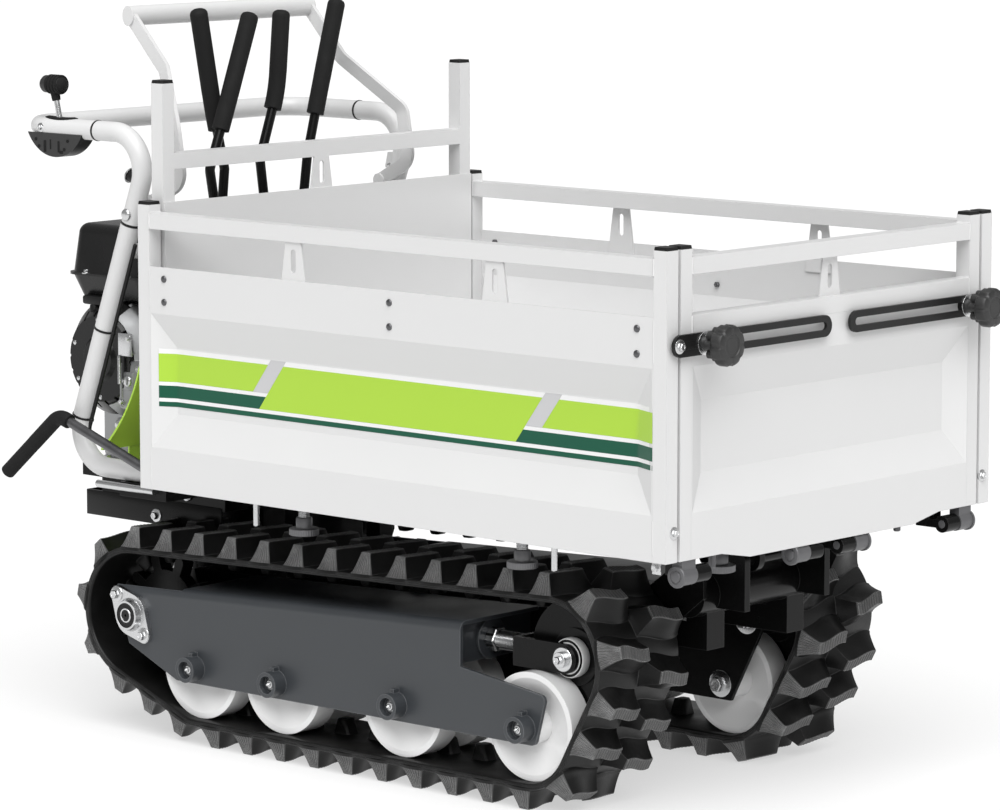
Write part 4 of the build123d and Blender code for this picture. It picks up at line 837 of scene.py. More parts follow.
# %% Threads, nuts and grease nipples
fork_y, fork_bolt_y, cup_y, inner_bolt_y = 0.290, 0.3026, 0.3332, 0.1372
wheel_places = (wheel_1, wheel_1 + 0.180, wheel_1 + 0.435, wheel_4)
for wall_name, side in sides:
    rod_place = (idler_x - 0.197, side * abs(track_y), idler_z)
    bright = bmesh.new()
    turn_shape(bright, tension_nut, rod_place, (1, 0, 0), sides=6)
    turn_shape(bright, tension_thread, rod_place, (1, 0, 0), sides=32)
    turn_shape(bright, fork_boss, (idler_x, side * fork_y, idler_z), (0, side, 0), sides=40)
    hex_bolt(bright, (idler_x, side * fork_bolt_y, idler_z), (0, side, 0), 0.0105, washer=False)
    for x in wheel_places:
        turn_shape(bright, grease_nipple, (x, side * cup_y, wheel_z), (0, side, 0), sides=18)
    for x, z in [(idler_x, idler_z)] + [(x, wheel_z) for x in wheel_places]:
        hex_bolt(bright, (x, side * inner_bolt_y, z), (0, -side, 0), 0.0215)
    make_piece(f"tensioner_{wall_name}", bright, zinc_plate, "chassis")
    ring_mesh = bmesh.new()
    turn_shape(ring_mesh, idler_ring, (idler_x, side * abs(track_y), idler_z), (0, side, 0), sides=48)
    make_piece(f"idler_ring_{wall_name}", ring_mesh, gloss_white_wheel, "chassis")
    washer_mesh = bmesh.new()
    turn_shape(washer_mesh, tension_washer, rod_place, (1, 0, 0), sides=48)
    make_piece(f"tension_washer_{wall_name}", washer_mesh, anthracite_paint, "chassis")

# %% [markdown]
# ## Drive bearings
# The drive shaft ends in a pressed flange bearing: a black rubber seal, a bright inner race and the dark shaft end,
# one inside the other. Two hexagon bolts hold the flange to the track plate.

# %% Bearing seals, races and bolts
seal_lip = [(0.0116, -0.0002), (0.0196, -0.0002), (0.0196, 0.0012), (0.0186, 0.0020), (0.0150, 0.0014),
            (0.0132, 0.0022), (0.0116, 0.0020)]
shaft_end = [(0, 0.0030), (0.0090, 0.0030), (0.0088, 0.0036), (0.0026, 0.0036), (0.0014, 0.0026), (0, 0.0022)]
inner_race = [(0.0100, -0.0002), (0.0118, -0.0002), (0.0118, 0.0030), (0.0112, 0.0037), (0.0094, 0.0037),
              (0.0089, 0.0031)]
race_y, flange_y, bolt_offset = 0.335, 0.328, 0.030
for wall_name, side in sides:
    face = (drive_x, side * race_y, drive_z)
    seals = bmesh.new()
    turn_shape(seals, seal_lip, face, (0, side, 0), sides=40)
    turn_shape(seals, shaft_end, face, (0, side, 0), sides=32)
    make_piece(f"bearing_seal_{wall_name}", seals, black_plastic, "chassis")
    races = bmesh.new()
    turn_shape(races, inner_race, face, (0, side, 0), sides=40)
    for step in (-bolt_offset, bolt_offset):
        hex_bolt(races, (drive_x + step, side * flange_y, drive_z - step), (0, side, 0), 0.0125)
    make_piece(f"bearing_bolts_{wall_name}", races, zinc_plate, "chassis")

# %% [markdown]
# ## Clamp screws under the box
# Six screws clamp the slides from below. The real ones are knurled steel wheels on a collar, turned by hand, with a
# bright threaded stem above. A knurl is a wheel whose rim points step in and out.


# %% Knurled wheels and stems
def knurled(mesh_tool, place, axis, radius, thick, teeth, depth):
    """A hand wheel with a knurled rim and chamfered faces."""
    turned_frame = Vector(axis).to_track_quat("Z", "Y").to_matrix()
    rings = []
    for share, height in ((0.90, 0.0), (1.0, 0.12 * thick), (1.0, 0.88 * thick), (0.90, thick)):
        ring = []
        for i in range(2 * teeth):
            angle = math.pi * i / teeth
            reach = radius * share - (depth if i % 2 and share == 1.0 else 0)
            point = Vector((reach * math.cos(angle), reach * math.sin(angle), height))
            ring.append(mesh_tool.verts.new(Vector(place) + turned_frame @ point))
        rings.append(ring)
    for lower, upper in zip(rings, rings[1:]):
        for i in range(2 * teeth):
            j = (i + 1) % (2 * teeth)
            mesh_tool.faces.new((lower[i], lower[j], upper[j], upper[i]))
    mesh_tool.faces.new(rings[0])
    mesh_tool.faces.new(rings[-1])


clamp_collar = [(0.0060, 0.0110), (0.0138, 0.0110), (0.0126, 0.0126), (0.0126, 0.0262), (0.0118, 0.0275),
                (0.0060, 0.0278)]
clamp_thread = threaded(0.0276, 0.0204, 0.0090, 0.0012, 0.0026)
clamp_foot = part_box("lock_screws")[0].z - 0.0003
wheels_mesh = bmesh.new()
stems_mesh = bmesh.new()
for x, y in [(0.367, 0.330), (-0.080, 0.330), (0.602, 0.160)]:
    for foot in ((x, -y, clamp_foot), (x, y, clamp_foot)):
        knurled(wheels_mesh, foot, (0, 0, 1), 0.0232, 0.0116, 36, 0.0006)
        turn_shape(wheels_mesh, clamp_collar, foot, (0, 0, 1), sides=28)
        turn_shape(stems_mesh, clamp_thread, foot, (0, 0, 1), sides=24)
make_piece("clamp_wheels", wheels_mesh, wheel_steel, "load_bed")
make_piece("clamp_stems", stems_mesh, zinc_plate, "load_bed")

# %% [markdown]
# ## Gate and corner hardware
# Two slotted plates clamp the gate to the side posts. Each plate ends in a bolt, its outer part is closed, and its
# knob has a washer under it. The knob is round, with finger hollows in its rim, so it is swept round like a turned
# part and pushed in a little at each hollow. The closed part of the plate is a block with soft edges.


# %% Helpers for soft blocks and knob rims
def soft_block(mesh_tool, low, high, soft):
    """A block between two corners with rounded edges."""
    low, high = Vector(low), Vector(high)
    made = bmesh.ops.create_cube(mesh_tool, size=1.0)["verts"]
    bmesh.ops.scale(mesh_tool, vec=high - low, verts=made)
    bmesh.ops.translate(mesh_tool, vec=(low + high) / 2, verts=made)
    edges = list(dict.fromkeys(edge for vert in made for edge in vert.link_edges))
    bmesh.ops.bevel(mesh_tool, geom=edges, offset=soft, segments=2, profile=0.5, affect="EDGES")


def scalloped(mesh_tool, place, radius, hollows):
    """A round knob body along X with finger hollows in its rim and a sunk disc in its face."""
    outline = [(0.60, 0.0, 0.0), (0.92, 0.0012, 0.6), (1.0, 0.0042, 1.0), (1.0, 0.0160, 1.0), (0.94, 0.0196, 0.7),
               (0.84, 0.0212, 0.2), (0.56, 0.0212, 0.0), (0.53, 0.0198, 0.0), (0.0, 0.0198, 0.0)]
    hollow_depth = 0.0030
    steps = 12 * hollows
    rings = []
    for share, ahead, cut in outline:
        ring = []
        for i in range(steps if share else 1):
            angle = 2 * math.pi * i / steps
            reach = radius * share - hollow_depth * cut * max(0.0, math.cos(hollows * angle)) ** 2
            point = Vector((ahead, reach * math.cos(angle), reach * math.sin(angle)))
            ring.append(mesh_tool.verts.new(Vector(place) + point))
        rings.append(ring)
    for lower, upper in zip(rings, rings[1:]):
        for i in range(steps):
            corners = [lower[i], lower[(i + 1) % steps], upper[(i + 1) % len(upper)], upper[i % len(upper)]]
            mesh_tool.faces.new(list(dict.fromkeys(corners)))


# %% Knobs, plates, bolts and hinge ends
knob_washer = [(0.0105, 0), (0.0172, 0), (0.0172, 0.0014), (0.0166, 0.0018), (0.0105, 0.0018)]
hinge_end = [(0, -0.001), (0.0160, -0.001), (0.0160, 0.0024), (0.0150, 0.0034), (0.0108, 0.0034), (0.0102, 0.0022),
             (0.0084, 0.0022), (0.0078, 0.0040), (0.0060, 0.0046), (0, 0.0046)]
plate_low, plate_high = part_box("gate_plates")
knob_low, knob_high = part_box("gate_knobs")
knob_z = (knob_low.z + knob_high.z) / 2
knob_y = knob_high.y - 0.0245
plate_bolt_y, plate_end_y, half_slot = 0.3695, 0.3705, 0.0063
hinge_x, hinge_z = box_front - 0.012, box_bottom - 0.024
gate_bright, gate_dark, gate_grey, gate_rims = bmesh.new(), bmesh.new(), bmesh.new(), bmesh.new()
for side in (-1, 1):
    near_y, far_y = sorted((side * (knob_y - 0.012), side * plate_end_y))
    soft_block(gate_dark, (plate_low.x + 0.0064, near_y, knob_z - half_slot),
               (plate_high.x - 0.0003, far_y, knob_z + half_slot), 0.0006)
    hex_bolt(gate_bright, (plate_high.x - 0.0004, side * plate_bolt_y, knob_z), (1, 0, 0), 0.0105)
    turn_shape(gate_bright, knob_washer, (plate_high.x, side * knob_y, knob_z), (1, 0, 0), sides=32)
    for end_y in (0.345, 0.085):
        turn_shape(gate_grey, hinge_end, (hinge_x, side * end_y, hinge_z), (0, side, 0), sides=40)
    scalloped(gate_rims, (knob_high.x - 0.0200, side * knob_y, knob_z), 0.0300, 8)
make_piece("knob_rims", gate_rims, knob_plastic, "front_gate")
make_piece("gate_bolts", gate_bright, zinc_plate, "front_gate")
make_piece("gate_plate_inlays", gate_dark, black_plastic, "front_gate")
make_piece("gate_hinge_ends", gate_grey, hinge_grey, "front_gate")

# %% [markdown]
# Corner bolts and plain drop pins show below the box. The pins hang from the folded foot of the side walls, and a
# small bolted tab holds each front corner. Two darker pins under the nose belong to the bed.

# %% Corner bolts, tabs and drop pins
drop_pin = [(0, 0.0), (0.0034, 0.0), (0.0046, 0.0012), (0.0046, 0.0375), (0, 0.0375)]
pin_collar = [(0.0040, -0.0014), (0.0078, -0.0014), (0.0074, 0.0004), (0.0040, 0.0004)]
nose_pin = [(0, 0), (0.0042, 0), (0.0055, 0.0013), (0.0055, 0.0300), (0.0080, 0.0302), (0.0080, 0.0325), (0, 0.0325)]
pin_y, pin_drop, nose_pin_y = 0.368, 0.037, 0.221
corner_bolt_y, tab_bolt_y, tab_outer, tab_inner = 0.3675, 0.3638, 0.364, 0.3605
for wall_name, side in sides:
    corner = bmesh.new()
    hex_bolt(corner, (box_front - 0.0002, side * corner_bolt_y, box_bottom + 0.043), (1, 0, 0), 0.0092)
    for x in (box_front - 0.224, box_front - 0.832):
        turn_shape(corner, drop_pin, (x, side * pin_y, box_bottom - pin_drop), (0, 0, 1), sides=20)
        turn_shape(corner, pin_collar, (x, side * pin_y, box_bottom), (0, 0, 1), sides=20)
    near_y, far_y = sorted((side * tab_outer, side * tab_inner))
    soft_block(corner, (box_front - 0.043, near_y, box_bottom - 0.021),
               (box_front - 0.027, far_y, box_bottom + 0.0005), 0.0008)
    hex_bolt(corner, (box_front - 0.035, side * tab_bolt_y, box_bottom - 0.0115), (0, side, 0), 0.0088)
    make_piece(f"corner_bolts_{wall_name}", corner, zinc_plate, f"side_{wall_name}")
nose_pins = bmesh.new()
for y in (-nose_pin_y, nose_pin_y):
    turn_shape(nose_pins, nose_pin, (box_front - 0.050, y, box_bottom - 0.031), (0, 0, 1), sides=20)
make_piece("nose_pins", nose_pins, dark_steel, "load_bed")

# %% [markdown]
# ## Handle fittings
# The handle is two bent tubes: the upper one plugs into the lower uprights, with a dark joint line and a cross bolt.
# The uprights lean, so one helper finds the middle of the tube at any height. The right one also carries a rubber
# stop with a bolt, and a control cable is strapped along it, in a straight run between its ties.

# %% Line of the uprights
upright_low, upright_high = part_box("handle_uprights")
tube_r = 0.016
handle_y = upright_high.y - tube_r
foot_z = upright_low.z + tube_r
arm_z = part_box("handlebar")[1].z - tube_r
lean = Vector((0.198, 0, arm_z - foot_z))
lean_way = lean.normalized()


def upright_place(z, side):
    """Point on the centre line of a handle upright."""
    return Vector((box_rear - 0.250, side * handle_y, foot_z)) + lean * ((z - foot_z) / lean.z)


def band_ring(mesh_tool, place, axis, radius, thick, width):
    """A flat band round a tube."""
    inner, outer, edge = radius - 0.0005, radius + thick, radius + thick * 0.7
    turn_shape(mesh_tool, [(inner, -width / 2), (edge, -width / 2), (outer, -width / 4), (outer, width / 4),
                           (edge, width / 2), (inner, width / 2)], place, axis, sides=40)


print("handle leans", round(math.degrees(math.atan2(lean.x, lean.z)), 1), "degrees")

# %% Joint lines, cross bolts and stop
joint_z, cross_bolt_z, stop_z = 0.817, 0.832, 0.884
dark_bands = bmesh.new()
handle_bright = bmesh.new()
for side in (-1, 1):
    band_ring(dark_bands, upright_place(joint_z, side), lean_way, tube_r, 0.0006, 0.0042)
    dome_rivet(handle_bright, upright_place(cross_bolt_z, side) + Vector((0, side * (tube_r - 0.0006), 0)),
               (0, side, 0), 0.0095)
    band_ring(dark_bands, (box_front - 1.247, side * handle_y, arm_z), (1, 0, 0), tube_r, 0.0009, 0.0036)
    hex_bolt(handle_bright, (box_front - 1.365, side * (handle_y + tube_r - 0.0012), arm_z), (0, side, 0), 0.0075)
stop_rubber = [(0, 0.010), (0.0098, 0.010), (0.0098, 0.0245), (0.0090, 0.0255), (0, 0.0255)]
stop_washer = [(0, 0.0254), (0.0125, 0.0254), (0.0125, 0.0276), (0.0118, 0.0284), (0, 0.0284)]
stop_base = upright_place(stop_z, -1)
stop_way = Vector((-lean_way.z, 0, lean_way.x))
turn_shape(dark_bands, stop_rubber, stop_base, stop_way)
turn_shape(handle_bright, stop_washer, stop_base, stop_way)
hex_bolt(handle_bright, stop_base + stop_way * 0.0283, stop_way, 0.0100, washer=False)
print("upper tube joins at", [round(v, 3) for v in upright_place(joint_z, -1)])

# %% [markdown]
# The left upright has a small welded lug in place of the stop, with a bolt through it. It is cut from plate, so its
# rim is one outline, given as distance from the tube's middle and height, between two faces.

# %% Bolted lug on the left upright
lug_rim = [(0.004, 0.895), (-0.026, 0.893), (-0.032, 0.869), (-0.020, 0.852), (0.004, 0.846)]
lug_half = 0.0018
lug_x = upright_place(0.870, 1).x
spring_lug = bmesh.new()
near_rim, far_rim = ([spring_lug.verts.new((lug_x + x, lug_y, z)) for x, z in lug_rim]
                     for lug_y in (handle_y - lug_half, handle_y + lug_half))
spring_lug.faces.new(near_rim)
spring_lug.faces.new(far_rim[::-1])
for i in range(len(lug_rim)):
    j = (i + 1) % len(lug_rim)
    spring_lug.faces.new((near_rim[j], near_rim[i], far_rim[i], far_rim[j]))
bmesh.ops.recalc_face_normals(spring_lug, faces=spring_lug.faces)
bmesh.ops.bevel(spring_lug, geom=spring_lug.edges[:], offset=0.0006, segments=1, affect="EDGES")
make_piece("spring_lug", spring_lug, white_powder_coat, "chassis")
hex_bolt(handle_bright, (lug_x - 0.0205, handle_y - lug_half, 0.868), (0, -1, 0), 0.0075)
make_piece("handle_bolts", handle_bright, zinc_plate, "chassis")

# %% Strapped cable and its ties
cable_r = 0.0034
cable_side = Vector((lean_way.z, 0, -lean_way.x)) * 0.0176 + Vector((0, 0.0030, 0))
cable_low, cable_high = upright_place(0.478, -1) + cable_side, upright_place(0.790, -1) + cable_side
cable_run = (cable_high - cable_low).length
turn_shape(dark_bands, [(0, 0), (0.0024, 0), (cable_r, 0.0012), (cable_r, cable_run - 0.0012), (0.0024, cable_run),
                        (0, cable_run)], cable_low, lean_way, sides=14)
for z in (0.644, 0.500):
    band_ring(dark_bands, upright_place(z, -1), lean_way, tube_r, 0.0012, 0.0036)
    band_ring(dark_bands, upright_place(z, -1) + cable_side, lean_way, cable_r, 0.0010, 0.0036)
make_piece("handle_bands", dark_bands, black_plastic, "chassis")
print("cable run:", round(cable_run, 3), "m")

# %% [markdown]
# The throttle is a thumb knob on a short bright stem, over a moulded housing with slots and screws. The stem leaves
# the arm through a rubber boot that hugs the round tube, so each ring of the boot drops with the tube's curve.

# %% Housing slots and boot
housing_face = -0.3149
throttle_marks = bmesh.new()
for x, low, high, half in ((-0.669, 0.921, 0.940, 0.0026), (-0.656, 0.926, 0.942, 0.0012),
                           (-0.637, 0.922, 0.940, 0.0020), (-0.631, 0.920, 0.925, 0.0036)):
    soft_block(throttle_marks, (x - half, housing_face - 0.0009, low),
               (x + half, housing_face + 0.0003, high), 0.0005)
housing_screw = [(0, 0), (0.0028, 0), (0.0028, 0.0008), (0.0018, 0.0011), (0.0008, 0.0005), (0, 0.0005)]
for x, z in ((-0.690, 0.941), (-0.616, 0.941), (-0.683, 0.930), (-0.624, 0.927)):
    turn_shape(throttle_marks, housing_screw, (x, housing_face, z), (0, -1, 0), sides=16)
boot_x, boot_long, boot_wide, boot_steps = -0.645, 0.037, 0.0095, 40
boot = []
for height, grow in ((-0.0030, 1.0), (0.0012, 1.0), (0.0026, 0.80), (0.0018, 0.55)):
    ring = []
    for i in range(boot_steps):
        angle = 2 * math.pi * i / boot_steps
        x = boot_x + boot_long * grow * math.cos(angle)
        y = boot_wide * grow * math.sin(angle)
        drop = tube_r - math.sqrt(tube_r ** 2 - y ** 2)
        ring.append(throttle_marks.verts.new((x, y - handle_y, arm_z + tube_r - drop + height)))
    boot.append(ring)
for lower, upper in zip(boot, boot[1:]):
    for i in range(boot_steps):
        j = (i + 1) % boot_steps
        throttle_marks.faces.new((lower[i], lower[j], upper[j], upper[i]))
throttle_marks.faces.new(boot[-1])
print("boot:", 2 * boot_long, "m long")

# %% Ribbed thumb knob and stem
stem_way = Vector((-0.017, 0, 0.069))
knob_place = Vector((box_rear - 0.280, -handle_y, arm_z + 0.069))
knob_cap = [(0.0132, 0.0140), (0.0130, 0.0170), (0.0112, 0.0212), (0.0070, 0.0243), (0, 0.0254)]
knob_neck = [(0.0044, -0.027), (0.0068, -0.026), (0.0078, -0.012), (0.0078, 0.0)]
stem_tube = [(0.0030, 0.0145), (0.0046, 0.0145), (0.0046, 0.0455), (0.0030, 0.0455)]
for ahead in (-0.0045, 0.0025, 0.0095, 0.0165):
    band_ring(throttle_marks, knob_place + Vector((ahead, 0, 0)), (1, 0, 0), 0.0136, 0.0022, 0.0052)
for end in (-1, 1):
    turn_shape(throttle_marks, knob_cap, knob_place, (end, 0, 0), sides=32)
turn_shape(throttle_marks, knob_neck, knob_place, stem_way)
stem = bmesh.new()
turn_shape(stem, stem_tube, (box_rear - 0.263, -handle_y, arm_z), stem_way, sides=20)
make_piece("throttle_stem", stem, zinc_plate, "chassis")
make_piece("throttle_details", throttle_marks, grip_foam, "chassis")

# %% [markdown]
# ## Lever boots and grips
# Four levers come up through the console. Each has a rubber boot at its foot, a bellows of soft folds.

# %% Lever boots
console_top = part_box("lever_console")[1].z
bellows = [(0.0075, -0.0005), (0.0195, -0.0005), (0.0195, 0.0030), (0.0165, 0.0050), (0.0175, 0.0085),
           (0.0138, 0.0110), (0.0148, 0.0145), (0.0112, 0.0170), (0.0120, 0.0205), (0.0090, 0.0225), (0.0075, 0.0225)]
boots_mesh = bmesh.new()
for back, y in ((0.115, -0.092), (0.080, -0.128), (0.100, 0.002), (0.100, 0.078)):
    turn_shape(boots_mesh, bellows, (box_rear - back, y, console_top), (0, 0, 1), sides=28)
make_piece("lever_boots", boots_mesh, grip_foam, "chassis")

# %% [markdown]
# A foam grip is a sleeve pushed on over the bend of the rod, with a round closed end, so the bent lower part and the
# round end are added to each straight grip. A sleeve is a row of rings along a curved path.

# %% Round ends and lower sleeves of the lever grips
sleeve_steps = 28


def sleeve(mesh_tool, path, flat, radius):
    """A soft sleeve along a path of (place, share of the radius). The path lies in a plane across the flat axis."""
    rings = []
    turns = [2 * math.pi * j / sleeve_steps for j in range(sleeve_steps)]
    for i, (place, grow) in enumerate(path):
        ahead = (path[min(i + 1, len(path) - 1)][0] - path[max(i - 1, 0)][0]).normalized()
        across = ahead.cross(flat)
        rings.append([mesh_tool.verts.new(place + (across * math.cos(a) + flat * math.sin(a)) * radius * grow)
                      for a in turns])
    for lower, upper in zip(rings, rings[1:]):
        for i in range(sleeve_steps):
            j = (i + 1) % sleeve_steps
            mesh_tool.faces.new((lower[i], lower[j], upper[j], upper[i]))
    mesh_tool.faces.new(rings[0])
    mesh_tool.faces.new(rings[-1])


def curve_through(first, middle, last, steps):
    """Points of a smooth bend from one place to another, pulled towards a middle place."""
    shares = [i / steps for i in range(steps + 1)]
    return [first * (1 - s) ** 2 + middle * (2 * s * (1 - s)) + last * s ** 2 for s in shares]


grip_r = 0.0145
round_end = [(grip_r - 0.0002, -0.002), (grip_r, 0.0), (grip_r * 0.96, 0.003), (grip_r * 0.80, 0.0064),
             (grip_r * 0.5, 0.0086), (0, 0.0094)]
# Each lever: distance behind the box, then (y, height over the console) of its bend, its knee and its end.
levers = [(0.115, (-0.081, 0.101), (-0.105, 0.195), (-0.136, 0.352)),
          (0.080, (-0.149, 0.106), (-0.113, 0.196), (-0.057, 0.344)),
          (0.100, (-0.015, 0.113), (0.025, 0.222), (0.036, 0.344)),
          (0.100, (0.095, 0.112), (0.122, 0.209), (0.165, 0.357))]
grip_mesh = bmesh.new()
for back, *lever_points in levers:
    bend, knee, end = (Vector((box_rear - back, y, console_top + z)) for y, z in lever_points)
    upper_way, lower_way = (end - knee).normalized(), (bend - knee).normalized()
    turn_shape(grip_mesh, round_end, end, upper_way, sides=28)
    path = [(knee + lower_way * 0.0308, 0.78), (knee + lower_way * 0.0304, 0.94)]
    path += [(place, 1.0) for place in curve_through(knee + lower_way * 0.030, knee, knee + upper_way * 0.034, 10)]
    sleeve(grip_mesh, path, Vector((1, 0, 0)), grip_r - 0.0001)
make_piece("grip_ends", grip_mesh, grip_foam, "chassis")

# %% [markdown]
# The tipping lever has the same kind of sleeve over its bend. It rises from the hand end to a peak and falls to the
# latch, so the path runs through these three places.

# %% Foam sleeve over the tipping lever's bend
lever_low, lever_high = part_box("tip_lever")
lever_y = (lever_low.y + lever_high.y) / 2
lever_tip, lever_peak, lever_foot = (Vector((box_rear - back, lever_y, box_bottom + rise))
                                     for back, rise in ((0.355, -0.015), (0.231, 0.088), (0.040, 0.023)))
rise_way, fall_way = (lever_peak - lever_tip).normalized(), (lever_foot - lever_peak).normalized()
path = [(lever_tip + rise_way * 0.080, 0.99), (lever_tip + rise_way * 0.083, 1.0)]
path += [(place, 1.0) for place in curve_through(lever_peak - rise_way * 0.016, lever_peak,
                                                 lever_peak + fall_way * 0.016, 12)]
path += [(lever_peak + fall_way * along, grow) for along, grow in ((0.0230, 1.0), (0.0250, 0.94), (0.0258, 0.74))]
sleeve_mesh = bmesh.new()
sleeve(sleeve_mesh, path, Vector((0, 1, 0)), 0.0122)
make_piece("tip_sleeve", sleeve_mesh, grip_foam, "load_bed")

# %% [markdown]
# ## Engine details
# The fan side of a small engine is a pressed black starter cover on a cast alloy shroud. The shroud is a turned shell
# that covers the front of the housing, with bosses for its bolts. A cast crank cover sits below it. Its blocks are
# measured from the middle of the fan's outer face.


# %% Cast shroud over the fan housing
def spoke(angle):
    """Direction at an angle in degrees round the fan, seen from the side."""
    return Vector((math.cos(math.radians(angle)), 0, math.sin(math.radians(angle))))


def part_turn(mesh_tool, outline, place, axis, first, last, steps):
    """Sweeps a closed outline part of the way round an axis along Y, with closed ends."""
    rings = []
    for i in range(steps + 1):
        way = spoke(first + (last - first) * i / steps)
        rings.append([mesh_tool.verts.new(Vector(place) + way * radius + Vector(axis) * height)
                      for radius, height in outline])
    for lower, upper in zip(rings, rings[1:]):
        for i in range(len(outline)):
            j = (i + 1) % len(outline)
            mesh_tool.faces.new((lower[i], lower[j], upper[j], upper[i]))
    mesh_tool.faces.new(rings[0])
    mesh_tool.faces.new(rings[-1])


def soft_blocks(mesh_tool, base, rows):
    """Several soft blocks, whose two corners are measured from one base point."""
    for low, high, soft in rows:
        soft_block(mesh_tool, base + Vector(low), base + Vector(high), soft)


fan_low, fan_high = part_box("recoil_cover")
fan_x, fan_z = (fan_low.x + fan_high.x) / 2, (fan_low.z + fan_high.z) / 2
fan_back = Vector((fan_x, fan_high.y, fan_z))
fan_face = Vector((fan_x, fan_low.y, fan_z))
shell = [(0.0925, 0.001), (0.1010, 0.001), (0.1010, 0.008), (0.0965, 0.010), (0.0965, 0.054), (0.0940, 0.0600),
         (0.0790, 0.0780), (0.0765, 0.0800), (0.0740, 0.0770), (0.0925, 0.0555)]
boss = [(0, 0.001), (0.0105, 0.001), (0.0100, 0.020), (0.0086, 0.0220), (0, 0.0220)]
shell_rib = [(0.0955, 0.008), (0.0990, 0.010), (0.0985, 0.052), (0.0955, 0.056)]
drain_boss = [(0, 0.0), (0.0130, 0.0), (0.0122, 0.0300), (0.0105, 0.0330), (0, 0.0330)]
boss_r = 0.1010
boss_angles = (-66, -22, 22, 52)
shroud = bmesh.new()
part_turn(shroud, shell, fan_back, (0, -1, 0), -78, 62, 40)
for angle in boss_angles:
    turn_shape(shroud, boss, fan_back + spoke(angle) * boss_r, (0, -1, 0), sides=24)
    part_turn(shroud, shell_rib, fan_back, (0, -1, 0), angle + 11, angle + 14, 2)
soft_blocks(shroud, fan_face, [((0.038, 0.0070, -0.080), (0.104, 0.0520, 0.004), 0.0090),
                               ((0.056, 0.0046, -0.046), (0.078, 0.0120, -0.016), 0.0022),
                               ((0.046, 0.0052, -0.074), (0.052, 0.0120, -0.002), 0.0018)])
turn_shape(shroud, drain_boss, fan_face + Vector((0.035, 0.0480, -0.106)), (0, -1, 0))
make_piece("fan_shroud", shroud, cast_alloy, "chassis")

# %% [markdown]
# Bright bolts, rivets and a small bent bracket with a threaded rod show on the fan side. The same bag of bolts holds
# the tank's seam, the engine's feet, the platform and the rear cover.

# %% Bolts on the fan side
engine_bright = bmesh.new()
for angle in boss_angles:
    hex_bolt(engine_bright, fan_back + spoke(angle) * boss_r + Vector((0, -0.0218, 0)), (0, -1, 0), 0.0085)
for angle in (95, 160, 215, 270, 330):
    dome_rivet(engine_bright, fan_face + Vector((0, 0.0075, 0)) + spoke(angle) * 0.063, (0, -1, 0), 0.0045)
soft_blocks(engine_bright, fan_face, [((0.050, -0.0010, 0.010), (0.082, 0.0012, 0.047), 0.0010),
                                      ((0.054, -0.0005, 0.012), (0.076, 0.0240, 0.016), 0.0008)])
for offset, across in (((0.074, -0.0010, 0.039), 0.0060), ((0.050, 0.0068, -0.066), 0.0068),
                       ((0.090, 0.0068, -0.010), 0.0068), ((0.092, 0.0068, -0.062), 0.0068)):
    hex_bolt(engine_bright, fan_face + Vector(offset), (0, -1, 0), across)
for offset, radius in (((0.066, 0.0045, -0.031), 0.0095), ((0.035, 0.0150, -0.106), 0.0090)):
    dome_rivet(engine_bright, fan_face + Vector(offset), (0, -1, 0), radius)
turn_shape(engine_bright, threaded(0.0, 0.046, 0.0032, 0.0005, 0.0022), fan_face + Vector((0.053, -0.0010, -0.036)),
           (0, 0, 1), sides=14)
print("fan side: faces", len(engine_bright.faces))

# %% [markdown]
# The platform under the engine is a folded tray. Its skirt hangs a little lower than the plate, on both sides and at
# the rear, so three thin strips with soft edges make it.

# %% Other bolts and the platform's skirt
tank_low, tank_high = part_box("fuel_tank")
for x in (tank_low.x + 0.050, tank_high.x - 0.050):
    hex_bolt(engine_bright, (x, tank_low.y + 0.0060, box_bottom + 0.3038), (0, 0, 1), 0.0075)
platform_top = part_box("engine_platform")[1].z
skirt_y, skirt_inner, skirt_low, skirt_high = 0.1868, 0.1820, 0.3145, 0.3560
skirt_rear, skirt_front, rear_strip, rear_strip_y = -0.719, -0.405, 0.0045, 0.1840
for x, z in ((-0.554, 0.329), (-0.483, 0.371)):
    for side in (-1, 1):
        hex_bolt(engine_bright, (x, side * skirt_y, z), (0, side, 0), 0.0110)
for x in (-0.690, -0.580):
    for y in (-0.165, 0.080):
        hex_bolt(engine_bright, (x, y, platform_top), (0, 0, 1), 0.0110)
head_low, head_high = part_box("engine_block")
head_y, head_z, head_bolt_r = -0.045, 0.515, 0.0455
for angle in range(30, 390, 60):
    turn = math.radians(angle)
    hex_bolt(engine_bright, (head_low.x - 0.0058, head_y + head_bolt_r * math.cos(turn),
                             head_z + head_bolt_r * math.sin(turn)), (-1, 0, 0), 0.0062)
skirt = bmesh.new()
for side in (-1, 1):
    near_y, far_y = sorted((side * skirt_inner, side * skirt_y))
    soft_block(skirt, (skirt_rear, near_y, skirt_low), (skirt_front, far_y, skirt_high), 0.0012)
soft_block(skirt, (skirt_rear, -rear_strip_y, skirt_low),
           (skirt_rear + rear_strip, rear_strip_y, skirt_high), 0.0012)
make_piece("platform_skirt", skirt, gloss_black_paint, "chassis")
make_piece("engine_bolts", engine_bright, zinc_plate, "chassis")

# %% [markdown]
# Black plastic parts are the starter grip, the ribbed filler cap, the spark plug's cap, a knurled screw and the ribs
# of the air filter's lid. Each is turned, knurled or a soft block.

